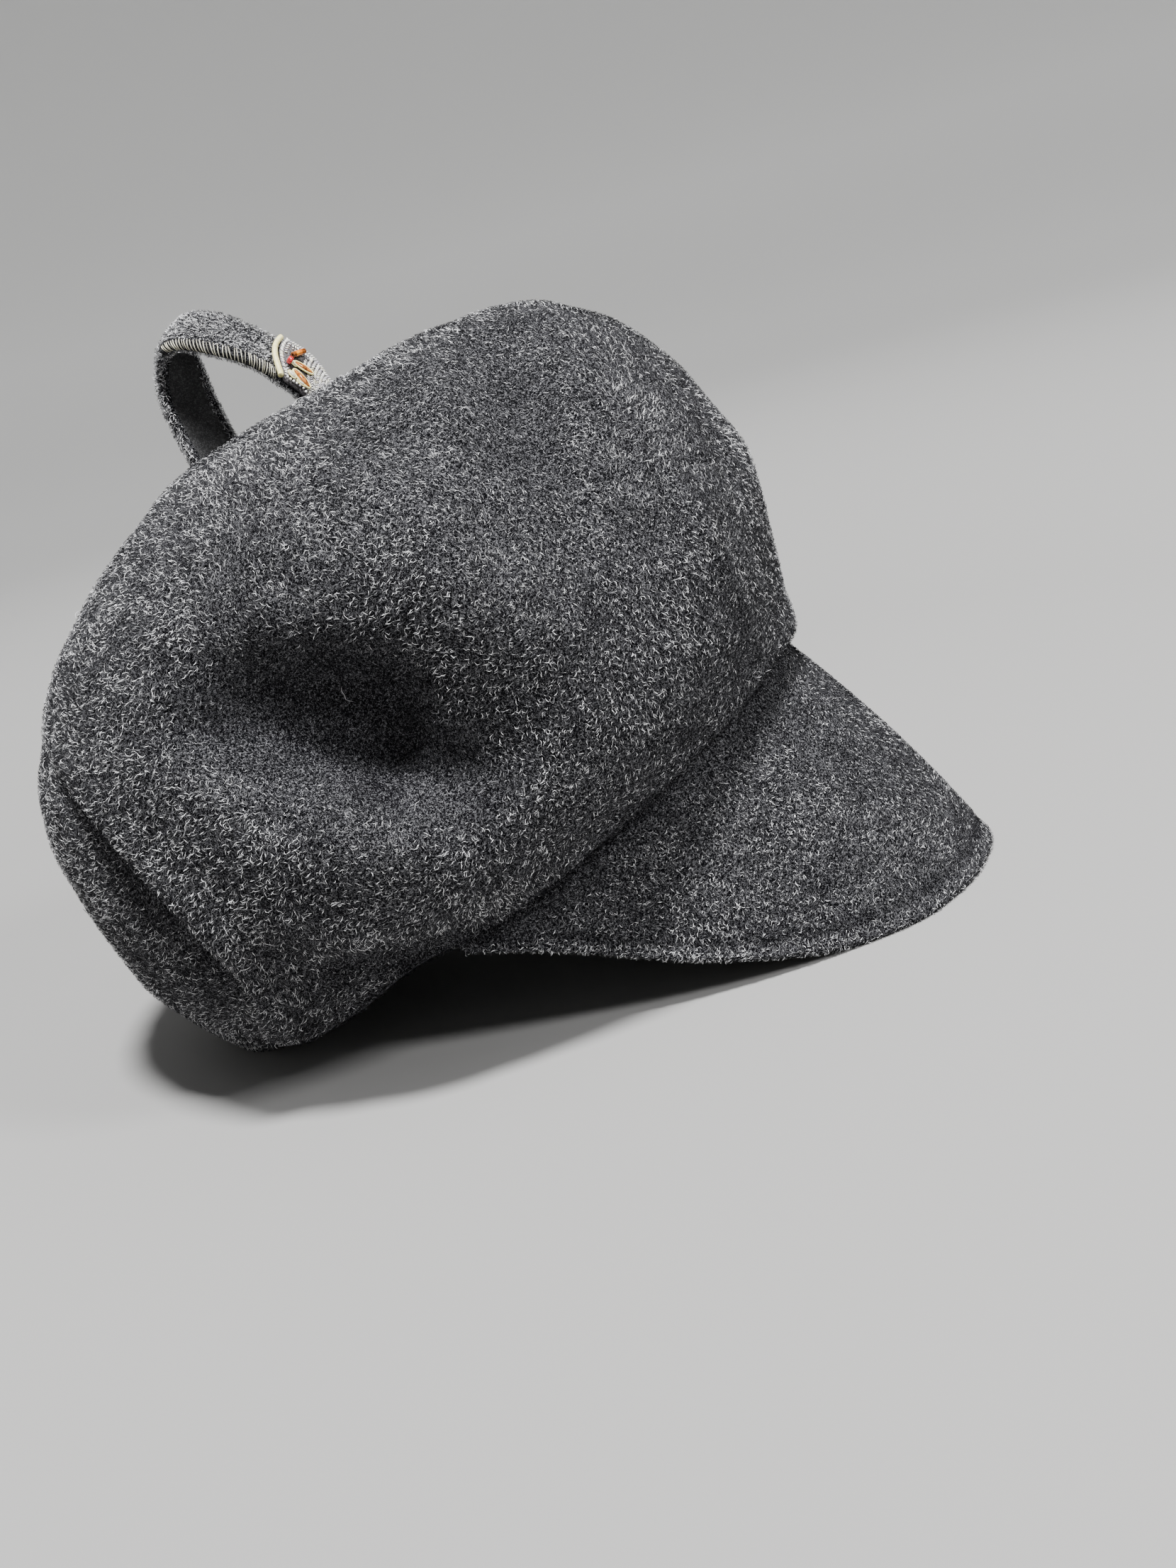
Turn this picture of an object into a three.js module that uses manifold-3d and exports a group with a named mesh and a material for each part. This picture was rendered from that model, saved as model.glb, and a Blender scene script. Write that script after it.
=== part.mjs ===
// A peaked felt hat: a wide soft crown whose turned rim overhangs a long peak, with a felt loop on top
// that ends in a beaded tab. Millimetres, +Z up. The peak points to -Y, the wearer's right is -X, and
// the hat rests on z = 0 on the nape of its rim and the front edge of its peak.
import * as THREE from 'three';
import Module from 'manifold-3d';

const wasm = await Module();
wasm.setup();

// Driving dimensions
const crownWall = 2.6;
const peakWall = 3;
const peakRootHeight = 9;
const stripThickness = 4;
const tabThickness = 1.6;
const pipingRadius = 0.9;
const pieceGap = 0.3;

// How far back the pieces are moved at the end, so that the origin is under the middle of the hat.
const middleShift = 3.5;

// The rim lies in a plane that is higher at the front, and the crown is measured square to it.
const rimTilt = THREE.MathUtils.degToRad(22.3);
const rimCentreY = 7.5;
const rimCentreZ = 39.2;
const rimSideDip = 3.4;

// Facets
const crownColumns = 72;
const peakColumns = 38;
const peakShares = [-1, -0.4, 0, 0.1, 0.28, 0.46, 0.64, 0.82, 1];
const stripFacetsPerSection = 3;
const stripEndFacets = 4;
const tabRows = 12;
const tabColumns = 6;
const pipingSteps = 14;
const beadFacets = 10;
const beadRings = 6;

// Sections of the crown's felt from its top, over the bubble and round the turned rim, to the cut edge
// inside. Each is a closed oval: its rise above the rim's plane, its reach to the front, back and side,
// and the facets between it and the next one.
const crownSections = [
  { name: 'top', rise: 150.5, front: 0, back: 0, side: 0, facets: 1 },
  { name: 'crest', rise: 149.2, front: 20, back: 14, side: 22, facets: 1 },
  { name: 'upper crest', rise: 145.5, front: 42, back: 28, side: 42, facets: 1 },
  { name: 'slope', rise: 139.5, front: 77, back: 46, side: 62, facets: 2 },
  { name: 'lower slope', rise: 130.5, front: 106, back: 67, side: 80, facets: 2 },
  { name: 'shoulder', rise: 117, front: 121.5, back: 87, side: 96, facets: 2 },
  { name: 'lower shoulder', rise: 98, front: 132.5, back: 104, side: 107, facets: 3 },
  { name: 'cheek', rise: 75, front: 137, back: 112, side: 113, facets: 3 },
  { name: 'belly', rise: 50, front: 137, back: 115, side: 115, facets: 2 },
  { name: 'under belly', rise: 28, front: 129.5, back: 114.5, side: 111, facets: 2 },
  { name: 'overhang', rise: 12, front: 122.5, back: 112, side: 101, facets: 1 },
  { name: 'rim side', rise: 5, front: 121, back: 111, side: 92, facets: 1 },
  { name: 'rim low', rise: 0.8, front: 119, back: 109.5, side: 88.5, facets: 1 },
  { name: 'rim bottom', rise: 0, front: 115, back: 106.5, side: 85.5, facets: 1 },
  { name: 'rim inner', rise: 1.5, front: 111.5, back: 103.5, side: 82, facets: 1 },
  { name: 'band foot', rise: 6, front: 110, back: 102, side: 80.5, facets: 1 },
  { name: 'band top', rise: 26, front: 108.5, back: 100.5, side: 79.5, facets: 0 },
];

// The crown's dents, valleys, ridges and creases. Each follows a path of places on the crown, given by
// their azimuth in degrees from the front towards the wearer's right, their level, which is a section's
// number counted from the top, and their depth, below zero where the felt stands out. left and right
// say how far the fold spreads to each hand of its path, seen from outside. power is 1 for a sharp
// crease and 2 for a soft fold.
const crownFolds = [
  {
    name: 'side dent',
    left: 26,
    right: 12,
    power: 2,
    path: [
      { azimuth: 106, level: 5.7, depth: 1 },
      { azimuth: 99, level: 6.15, depth: 10 },
      { azimuth: 92.5, level: 6.75, depth: 17 },
      { azimuth: 87, level: 7.3, depth: 23 },
      { azimuth: 82.5, level: 7.8, depth: 25 },
      { azimuth: 79, level: 8.2, depth: 17 },
    ],
  },
  {
    name: 'roof of the side dent',
    left: 12,
    right: 10,
    power: 2,
    path: [
      { azimuth: 97, level: 6.1, depth: 1 },
      { azimuth: 90, level: 6.3, depth: 6 },
      { azimuth: 83, level: 6.6, depth: 9 },
      { azimuth: 78, level: 7, depth: 8 },
      { azimuth: 76, level: 7.5, depth: 2 },
    ],
  },
  {
    name: 'ridge over the side dent',
    left: 15,
    right: 15,
    power: 2,
    path: [
      { azimuth: 66, level: 3.4, depth: -1 },
      { azimuth: 66, level: 5.2, depth: -3 },
      { azimuth: 64, level: 6, depth: -6 },
      { azimuth: 63, level: 6.8, depth: -7 },
      { azimuth: 61, level: 7.5, depth: -5 },
      { azimuth: 58, level: 8.2, depth: -1 },
    ],
  },
  {
    name: 'upper valley',
    left: 13,
    right: 15,
    power: 2,
    path: [
      { azimuth: 22, level: 4.2, depth: 0.5 },
      { azimuth: 32, level: 5, depth: 5 },
      { azimuth: 40, level: 5.7, depth: 8 },
      { azimuth: 44, level: 6.4, depth: 6 },
      { azimuth: 44, level: 7.4, depth: 1 },
    ],
  },
  {
    name: 'hollow behind the valley',
    left: 10,
    right: 10,
    power: 2,
    path: [
      { azimuth: 60, level: 3.4, depth: 1 },
      { azimuth: 55, level: 4.3, depth: 3 },
      { azimuth: 54, level: 5.2, depth: 3 },
      { azimuth: 55, level: 5.8, depth: 1 },
    ],
  },
  {
    name: 'front ridge',
    left: 4.5,
    right: 4.5,
    power: 2,
    path: [
      { azimuth: 30, level: 7.3, depth: -1 },
      { azimuth: 30.5, level: 8, depth: -2.2 },
      { azimuth: 29.5, level: 8.6, depth: -2.5 },
      { azimuth: 28.5, level: 9.2, depth: -1.5 },
      { azimuth: 28, level: 9.8, depth: -0.5 },
    ],
  },
  {
    name: 'line in front of it',
    left: 5,
    right: 5,
    power: 2,
    path: [
      { azimuth: 13, level: 7.2, depth: 1 },
      { azimuth: 17, level: 7.8, depth: 2 },
      { azimuth: 19, level: 8.5, depth: 2.2 },
      { azimuth: 17, level: 9.1, depth: 1 },
    ],
  },
  {
    name: 'right tuck',
    left: 4,
    right: 18,
    power: 1.6,
    path: [
      { azimuth: 152, level: 5, depth: 1 },
      { azimuth: 134, level: 5.8, depth: 6 },
      { azimuth: 127, level: 6.5, depth: 9 },
      { azimuth: 123.5, level: 7.2, depth: 10 },
      { azimuth: 121, level: 7.9, depth: 9 },
      { azimuth: 121.5, level: 8.7, depth: 7 },
      { azimuth: 126, level: 9.4, depth: 3 },
    ],
  },
  {
    name: 'right tuck edge',
    left: 9,
    right: 6,
    power: 2,
    path: [
      { azimuth: 148, level: 4.9, depth: -0.5 },
      { azimuth: 128, level: 6, depth: -2 },
      { azimuth: 121.5, level: 7.1, depth: -2.5 },
      { azimuth: 118, level: 7.8, depth: -3 },
      { azimuth: 118, level: 8.5, depth: -4 },
      { azimuth: 122, level: 9.3, depth: -4 },
      { azimuth: 129, level: 10.6, depth: -3 },
    ],
  },
  {
    name: 'hollow under the right side',
    left: 14,
    right: 14,
    power: 2,
    path: [
      { azimuth: 114, level: 9.1, depth: 4 },
      { azimuth: 109, level: 9.8, depth: 8 },
      { azimuth: 102, level: 10.5, depth: 8 },
      { azimuth: 92, level: 11, depth: 3 },
    ],
  },
  {
    name: 'left dent',
    left: 14,
    right: 20,
    power: 2,
    path: [
      { azimuth: -104, level: 6.2, depth: 1 },
      { azimuth: -90, level: 6.6, depth: 9 },
      { azimuth: -80, level: 7.2, depth: 13 },
      { azimuth: -72, level: 7.8, depth: 4 },
    ],
  },
  {
    name: 'ridge over the left dent',
    left: 16,
    right: 16,
    power: 2,
    path: [
      { azimuth: -58, level: 3.4, depth: -1 },
      { azimuth: -60, level: 5.6, depth: -4 },
      { azimuth: -58, level: 7.2, depth: -2 },
    ],
  },
  {
    name: 'left tuck',
    left: 15,
    right: 5,
    power: 1.6,
    path: [
      { azimuth: -160, level: 5.4, depth: 1 },
      { azimuth: -138, level: 6.2, depth: 5 },
      { azimuth: -128, level: 7.2, depth: 6 },
      { azimuth: -124, level: 8.4, depth: 4 },
    ],
  },
  {
    name: 'left tuck edge',
    left: 6,
    right: 9,
    power: 2,
    path: [
      { azimuth: -148, level: 5.8, depth: -0.5 },
      { azimuth: -124, level: 7.4, depth: -2 },
      { azimuth: -120, level: 9, depth: -3 },
      { azimuth: -130, level: 10.7, depth: -2 },
    ],
  },
];

// The peak's edge from the middle of the front to the temple, at even steps of azimuth along the rim
// that it hangs from: the edge's place, and how far the felt bows out between the two.
const peakHalfSpan = 95;
const peakSections = [
  { x: 0, y: -148.4, z: 0, bow: 3.6 },
  { x: 27, y: -141, z: 0, bow: 3.6 },
  { x: 45, y: -130, z: 0, bow: 3 },
  { x: 58, y: -117, z: 0, bow: 2 },
  { x: 67, y: -97, z: 0.5, bow: 2 },
  { x: 74, y: -75, z: 5, bow: 2 },
  { x: 80, y: -48, z: 13.5, bow: 1 },
  { x: 83.5, y: -18, z: 25, bow: 0.5 },
  { x: 82, y: 10, z: 31, bow: 0 },
];

// The felt loop on top, from its left foot over the arch to its right foot: the place of the strip's
// near edge, which is whipped, and of its far edge at each section.
const loopSections = [
  { name: 'left foot', near: [10, 67.5, 167], far: [18, 53, 172] },
  { name: 'lower leg', near: [11, 71.5, 183.5], far: [18, 56.5, 184.5] },
  { name: 'leg', near: [12, 74, 198], far: [19, 59, 197] },
  { name: 'upper leg', near: [11, 72.5, 208], far: [19.5, 60, 206.5] },
  { name: 'lower bend', near: [6, 67.8, 213], far: [19.5, 61.3, 216.6] },
  { name: 'upper bend', near: [1, 62.5, 214.5], far: [14.5, 57.3, 221.7] },
  { name: 'arch start', near: [-1, 56.5, 213], far: [11.5, 51.2, 221.3] },
  { name: 'arch', near: [-2, 49, 209.5], far: [10.5, 45.5, 218.8] },
  { name: 'middle of the arch', near: [-2, 41, 205], far: [10.5, 40.5, 215] },
  { name: 'arch end', near: [-1, 36, 200.5], far: [11, 36, 211] },
  { name: 'tab start', near: [0, 32.5, 196], far: [11.5, 31, 206.8] },
  { name: 'tab', near: [2, 28.5, 190], far: [12.5, 25, 199.6] },
  { name: 'right foot', near: [4, 27.5, 179], far: [11, 19.5, 187.5] },
];

// The tab on the loop's right end, and how far its piped border bows towards the arch. Along the loop it
// is measured in sections, and across in shares of the strip's width from the near edge.
const tabStart = 9.95;
const tabBow = 0.33;
const tabNear = -0.06;
const tabFar = 0.96;

// The beads on the tab, with their two ends measured in the same way. A bead that isn't flat at its ends
// is round and slim.
const tabBeads = [
  { name: 'red_bead', flat: false, from: [9.94, 0.34], to: [10.2, 0.34], radius: 1.2, colour: 0xc8202c },
  { name: 'orange_bugle', flat: true, from: [10.18, 0.53], to: [10.6, 0.83], radius: 0.9, colour: 0xe08a1e },
  { name: 'amber_leaf_upper', flat: false, from: [10.3, 0.42], to: [11, 0.5], radius: 1, colour: 0x9a5a2a },
  { name: 'amber_leaf_lower', flat: false, from: [10.3, 0.21], to: [11, 0.1], radius: 1.2, colour: 0xa8642c },
];

// The value at number t of a smooth curve through values.
function along(values, t) {
  const last = values.length - 1;
  const i = Math.min(Math.max(Math.floor(t), 0), last - 1);
  const f = t - i;
  const start = values[i];
  const end = values[i + 1];
  const before = i > 0 ? values[i - 1] : 2 * start - end;
  const after = i + 2 <= last ? values[i + 2] : 2 * end - start;
  const slopeIn = (end - before) / 2;
  const slopeOut = (after - start) / 2;
  const bend = 3 * (end - start) - 2 * slopeIn - slopeOut;
  const twist = slopeIn + slopeOut - 2 * (end - start);
  return start + f * (slopeIn + f * (bend + f * twist));
}

// The columns of a table, each as a list of its values.
function columnsOf(rows) {
  return Object.fromEntries(Object.keys(rows[0]).map((key) => [key, rows.map((row) => row[key])]));
}

function evenly(count, from, to) {
  return Array.from({ length: count + 1 }, (_, k) => from + ((to - from) * k) / count);
}

// A place given across, towards the back and square to the rim's plane.
function fromRim(across, back, rise) {
  return new THREE.Vector3(
    across,
    rimCentreY + back * Math.cos(rimTilt) + rise * Math.sin(rimTilt),
    rimCentreZ - back * Math.sin(rimTilt) + rise * Math.cos(rimTilt),
  );
}

// The outward direction square to a surface that is given by azimuth and a number that grows downwards.
function squareTo(surface, azimuth, t) {
  const step = 0.02;
  const down = surface(azimuth, t + step).sub(surface(azimuth, t - step));
  const round = surface(azimuth + step, t).sub(surface(azimuth - step, t));
  return round.cross(down).normalize();
}

// Crown: its outer skin before the folds, at azimuth and section number t.
const crownTable = columnsOf(crownSections);
const crownHeight = crownSections[0].rise;
const levelOf = (name) => crownSections.findIndex((section) => section.name === name);

function smoothCrown(azimuth, t) {
  const c = Math.cos(azimuth);
  const reach = along(c > 0 ? crownTable.front : crownTable.back, t);
  const across = -along(crownTable.side, t) * Math.sin(azimuth);
  const rise = along(crownTable.rise, t);
  const dip = rimSideDip * Math.sin(azimuth) ** 2 * (1 - rise / crownHeight);
  return fromRim(across, -reach * c, rise - dip);
}

function outOfCrown(azimuth, t) {
  return squareTo(smoothCrown, azimuth, Math.max(t, 0.1));
}

// Each fold's path over the smooth crown.
const foldSteps = 24;
const foldTraces = crownFolds.map((fold) => {
  const path = columnsOf(fold.path);
  return evenly(foldSteps, 0, fold.path.length - 1).map((u) => {
    const azimuth = THREE.MathUtils.degToRad(along(path.azimuth, u));
    const level = along(path.level, u);
    return {
      place: smoothCrown(azimuth, level),
      outward: outOfCrown(azimuth, level),
      depth: along(path.depth, u),
    };
  });
});

// How far one fold takes the felt in at a place.
function foldDepth(fold, trace, place) {
  let nearest = Infinity;
  let found = 0;
  for (let k = 0; k < foldSteps; k += 1) {
    const run = trace[k + 1].place.clone().sub(trace[k].place);
    const away = place.clone().sub(trace[k].place);
    const share = THREE.MathUtils.clamp(away.dot(run) / run.lengthSq(), 0, 1);
    away.addScaledVector(run, -share);
    const distance = away.length();
    if (distance < nearest) {
      const leftHand = trace[k].outward.clone().cross(run).normalize();
      const hand = distance > 0 ? away.dot(leftHand) / distance : 0;
      const spread = fold.right + (fold.left - fold.right) * (0.5 + 0.5 * hand);
      const depth = trace[k].depth + (trace[k + 1].depth - trace[k].depth) * share;
      nearest = distance;
      found = depth * Math.exp(-((distance / spread) ** fold.power));
    }
  }
  return found;
}

// The crown's outer skin with its folds, offset outwards and kept above the floor.
function crownSkin(azimuth, t, offset) {
  const place = smoothCrown(azimuth, t);
  const depth = crownFolds.reduce((sum, fold, k) => sum + foldDepth(fold, foldTraces[k], place), 0);
  place.addScaledVector(outOfCrown(azimuth, t), offset - depth);
  place.z = Math.max(place.z, -offset);
  return place;
}

function geometryOf(points, faces) {
  const geometry = new THREE.BufferGeometry();
  const coordinates = points.flatMap((point) => point.toArray());
  geometry.setAttribute('position', new THREE.Float32BufferAttribute(coordinates, 3));
  geometry.setIndex(faces);
  return geometry;
}

// Two facets over four corners, split along the shorter diagonal.
function quadFacets(points, a, b, c, d) {
  const alongAC = points[a].distanceToSquared(points[c]) <= points[b].distanceToSquared(points[d]);
  return alongAC ? [a, b, c, a, c, d] : [a, b, d, b, c, d];
}

// Closed body from rings of places. Every ring has as many places, and a pole closes each end.
function closedRings(rings, firstPole, lastPole) {
  const size = rings[0].length;
  const points = [firstPole, ...rings.flat(), lastPole];
  const at = (ring, k) => 1 + ring * size + (k % size);
  const faces = [];
  for (let k = 0; k < size; k += 1) {
    faces.push(0, at(0, k + 1), at(0, k));
    for (let ring = 0; ring + 1 < rings.length; ring += 1) {
      faces.push(...quadFacets(points, at(ring, k), at(ring, k + 1), at(ring + 1, k + 1), at(ring + 1, k)));
    }
    faces.push(at(rings.length - 1, k), at(rings.length - 1, k + 1), points.length - 1);
  }
  return geometryOf(points, faces);
}

// Closed sheet between an outer and an inner grid of places with as many rows and columns.
function closedSheet(outer, inner) {
  const last = outer.length - 1;
  const size = outer[0].length;
  const points = [...outer.flat(), ...inner.flat()];
  const out = (row, k) => row * size + k;
  const back = (row, k) => (last + 1 + row) * size + k;
  const faces = [];
  const quad = (a, b, c, d) => faces.push(...quadFacets(points, a, b, c, d));
  for (let row = 0; row < last; row += 1) {
    for (let k = 0; k + 1 < size; k += 1) {
      quad(out(row, k), out(row, k + 1), out(row + 1, k + 1), out(row + 1, k));
      quad(back(row, k), back(row + 1, k), back(row + 1, k + 1), back(row, k + 1));
    }
    quad(out(row, 0), out(row + 1, 0), back(row + 1, 0), back(row, 0));
    quad(out(row + 1, size - 1), out(row, size - 1), back(row, size - 1), back(row + 1, size - 1));
  }
  for (let k = 0; k + 1 < size; k += 1) {
    quad(out(0, k + 1), out(0, k), back(0, k), back(0, k + 1));
    quad(out(last, k), out(last, k + 1), back(last, k + 1), back(last, k));
  }
  return geometryOf(points, faces);
}

const crownLevels = crownSections
  .flatMap((section, i) => evenly(section.facets, i, i + 1).slice(0, section.facets))
  .slice(1)
  .concat(crownSections.length - 1);
const crownTurns = evenly(crownColumns, 0, 2 * Math.PI).slice(0, crownColumns);

function crownRings(levels, offset) {
  return levels.map((level) => crownTurns.map((azimuth) => crownSkin(azimuth, level, offset)));
}

function crownGeometry() {
  const outer = crownRings(crownLevels, 0);
  const inner = crownRings(crownLevels, -crownWall).reverse();
  const innerTop = fromRim(0, 0, crownHeight - crownWall);
  return closedRings([...outer, ...inner], fromRim(0, 0, crownHeight), innerTop);
}

// The space that the crown fills down to its overhang, with the gap that its neighbours keep.
function crownEnvelope() {
  const levels = crownLevels.filter((level) => level <= levelOf('overhang'));
  return closedRings(crownRings(levels, pieceGap), fromRim(0, 0, crownHeight + pieceGap), fromRim(0, 0, 0));
}

// Peak: its root stands inside the turned rim, and from there the felt falls to its edge. Share 0 is
// where it leaves the band, 1 is its edge, and below 0 it is the root.
const peakLeftHalf = peakSections.slice(1).reverse().map((section) => ({ ...section, x: -section.x }));
const peakTable = columnsOf([...peakLeftHalf, ...peakSections]);

function peakSkin(azimuth, share) {
  const foot = levelOf('band foot');
  const rootLevels = peakRootHeight / (crownSections[foot + 1].rise - crownSections[foot].rise);
  const place = crownSkin(azimuth, foot - Math.min(share, 0) * rootLevels, pieceGap);
  if (share <= 0) {
    return place;
  }
  const t = (THREE.MathUtils.radToDeg(azimuth) / peakHalfSpan + 1) * (peakSections.length - 1);
  const height = Math.max(along(peakTable.z, t), 0);
  const edge = new THREE.Vector3(-along(peakTable.x, t), along(peakTable.y, t), height);
  const outward = new THREE.Vector3(-Math.sin(azimuth), -Math.cos(azimuth), 0);
  return place.lerp(edge, share).addScaledVector(outward, along(peakTable.bow, t) * 4 * share * (1 - share));
}

function peakGeometry() {
  const span = THREE.MathUtils.degToRad(peakHalfSpan);
  const turns = evenly(peakColumns, -span, span);
  const outer = peakShares.map((share) => turns.map((azimuth) => peakSkin(azimuth, share)));
  const inner = peakShares.map((share) => turns.map((azimuth) => {
    const place = peakSkin(azimuth, share).addScaledVector(squareTo(peakSkin, azimuth, share), -peakWall);
    place.z = Math.max(place.z, 0);
    return place;
  }));
  return closedSheet(outer, inner);
}

// Loop: a place on the strip at section number s, a share of its width and a height over its middle.
const nearEdge = [0, 1, 2].map((axis) => loopSections.map((section) => section.near[axis]));
const farEdge = [0, 1, 2].map((axis) => loopSections.map((section) => section.far[axis]));

function stripPlace(s, share, height) {
  const onEdge = (edge, t) => new THREE.Vector3(...edge.map((values) => along(values, t)));
  const middle = (t) => onEdge(nearEdge, t).add(onEdge(farEdge, t)).multiplyScalar(0.5);
  const across = onEdge(farEdge, s).sub(onEdge(nearEdge, s));
  const forward = middle(s + 0.05).sub(middle(s - 0.05));
  const outward = forward.cross(across).normalize();
  return onEdge(nearEdge, s).addScaledVector(across, share).addScaledVector(outward, height);
}

function stripWidth(s) {
  return stripPlace(s, 1, 0).distanceTo(stripPlace(s, 0, 0));
}

// One section of the strip: two long sides and half-round edges.
function stripRing(s) {
  const radius = stripThickness / 2;
  const inset = radius / stripWidth(s);
  const edgeArc = (share, from) => evenly(stripEndFacets, from, from + Math.PI).map((angle) =>
    stripPlace(s, share + inset * Math.cos(angle), radius * Math.sin(angle)),
  );
  return [...edgeArc(1 - inset, -Math.PI / 2), ...edgeArc(inset, Math.PI / 2)];
}

function loopGeometry() {
  const last = loopSections.length - 1;
  const rings = evenly(last * stripFacetsPerSection, 0, last).map(stripRing);
  return closedRings(rings, stripPlace(0, 0.5, 0), stripPlace(last, 0.5, 0));
}

// Tab: it lies on the strip's outer side, from its piped border to the foot.
const tabFloor = stripThickness / 2 + pieceGap;

function tabBorder(share) {
  return tabStart - tabBow * Math.sin(Math.PI * THREE.MathUtils.clamp(share, 0, 1));
}

function tabGeometry() {
  const side = (height) => evenly(tabRows, 0, 1).map((run) =>
    evenly(tabColumns, tabFar, tabNear).map((share) => {
      const start = tabBorder(share);
      return stripPlace(start + (loopSections.length - 1 - start) * run, share, height);
    }),
  );
  return closedSheet(side(tabFloor + tabThickness), side(tabFloor));
}

// Piping: a thin round cord along the tab's border, beside it on the strip.
function pipingGeometry() {
  const height = tabFloor + pipingRadius;
  const places = evenly(tabColumns, tabNear, tabFar).map((share) => {
    const border = tabBorder(share);
    const sectionRun = stripPlace(border, share, height).distanceTo(stripPlace(border - 1, share, height));
    return stripPlace(border - (pipingRadius + pieceGap) / sectionRun, share, height);
  });
  const section = new THREE.Shape().absarc(0, 0, pipingRadius, 0, 2 * Math.PI);
  const extrudePath = new THREE.CatmullRomCurve3(places);
  return new THREE.ExtrudeGeometry(section, { steps: pipingSteps, curveSegments: 4, extrudePath });
}

// A bead between two places: round and slim, or a bugle with flat ends.
function beadGeometry(bead) {
  const height = tabFloor + tabThickness + pieceGap + bead.radius;
  const middle = [0, 1].map((i) => (bead.from[i] + bead.to[i]) / 2);
  const run = stripPlace(...bead.to, height).sub(stripPlace(...bead.from, height));
  const length = run.length();
  const geometry = bead.flat
    ? new THREE.CylinderGeometry(bead.radius, bead.radius, length, beadFacets)
    : new THREE.SphereGeometry(bead.radius, beadFacets, beadRings).scale(1, length / 2 / bead.radius, 1);
  const turn = new THREE.Quaternion().setFromUnitVectors(new THREE.Vector3(0, 1, 0), run.normalize());
  return geometry.applyQuaternion(turn).translate(...stripPlace(...middle, height));
}

function toSolid(geometry) {
  return new wasm.Manifold(new wasm.Mesh({
    numProp: 3,
    vertProperties: geometry.attributes.position.array,
    triVerts: new Uint32Array(geometry.index.array),
  }));
}

// What stands outside the crown of a piece that reaches into it.
function seatedOnCrown(geometry) {
  const parts = toSolid(geometry).subtract(toSolid(crownEnvelope())).decompose();
  const mesh = parts.sort((a, b) => b.volume() - a.volume())[0].getMesh();
  const seated = new THREE.BufferGeometry();
  seated.setAttribute('position', new THREE.BufferAttribute(mesh.vertProperties, mesh.numProp));
  seated.setIndex(new THREE.BufferAttribute(mesh.triVerts, 1));
  return seated;
}

const felt = new THREE.MeshStandardMaterial({ color: 0x2a2b2d, roughness: 1, metalness: 0 });
const beadedCloth = new THREE.MeshStandardMaterial({ color: 0xb9b6ad, roughness: 0.6, metalness: 0 });
const paleCord = new THREE.MeshStandardMaterial({ color: 0xe6dfb4, roughness: 0.5, metalness: 0 });

const hat = new THREE.Group();

function addPiece(name, geometry, material) {
  const piece = new THREE.Mesh(geometry.translate(0, middleShift, 0), material);
  piece.name = name;
  hat.add(piece);
}

addPiece('crown', crownGeometry(), felt);
addPiece('peak', peakGeometry(), felt);
addPiece('loop', seatedOnCrown(loopGeometry()), felt);
addPiece('bead_tab', seatedOnCrown(tabGeometry()), beadedCloth);
addPiece('tab_piping', pipingGeometry(), paleCord);
tabBeads.forEach((bead) => {
  const glass = new THREE.MeshStandardMaterial({ color: bead.colour, roughness: 0.2, metalness: 0 });
  addPiece(bead.name, beadGeometry(bead), glass);
});

export default hat;
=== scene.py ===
# A peaked hat of long-haired felt with a beaded loop on top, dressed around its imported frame.
# Lengths are in millimetres and become metres where a mesh is made. The peak points to -Y.
import math

import bpy
import numpy as np
from mathutils import Matrix, Vector
from mathutils.bvhtree import BVHTree


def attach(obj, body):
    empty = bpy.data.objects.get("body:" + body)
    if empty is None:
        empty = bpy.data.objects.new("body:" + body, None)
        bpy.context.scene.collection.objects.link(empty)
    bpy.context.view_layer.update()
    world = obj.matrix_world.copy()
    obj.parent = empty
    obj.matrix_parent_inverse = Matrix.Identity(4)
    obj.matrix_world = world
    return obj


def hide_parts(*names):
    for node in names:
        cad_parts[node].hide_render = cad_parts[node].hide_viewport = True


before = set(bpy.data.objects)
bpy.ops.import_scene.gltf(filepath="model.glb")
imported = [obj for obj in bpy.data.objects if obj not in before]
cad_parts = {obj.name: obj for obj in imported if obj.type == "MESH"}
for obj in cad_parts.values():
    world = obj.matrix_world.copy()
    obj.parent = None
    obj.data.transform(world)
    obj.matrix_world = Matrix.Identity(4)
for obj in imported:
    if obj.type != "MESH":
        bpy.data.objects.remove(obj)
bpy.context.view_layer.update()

MM = 0.001
SEED = 1738

# Sets the middle of the hat's box over the origin
SHIFT = np.array([0, 3.5, 0])

# Driving dimensions, as in the part's source
CROWN_WALL = 2.6
PEAK_WALL = 3.0
PEAK_ROOT_HEIGHT = 9.0
STRIP_THICKNESS = 4.0
TAB_THICKNESS = 1.6
PIPING_RADIUS = 0.9
PIECE_GAP = 0.3
RIM_TILT = math.radians(22.3)
RIM_CENTRE = np.array([0, 7.5, 39.2]) + SHIFT
RIM_SIDE_DIP = 3.4

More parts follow.
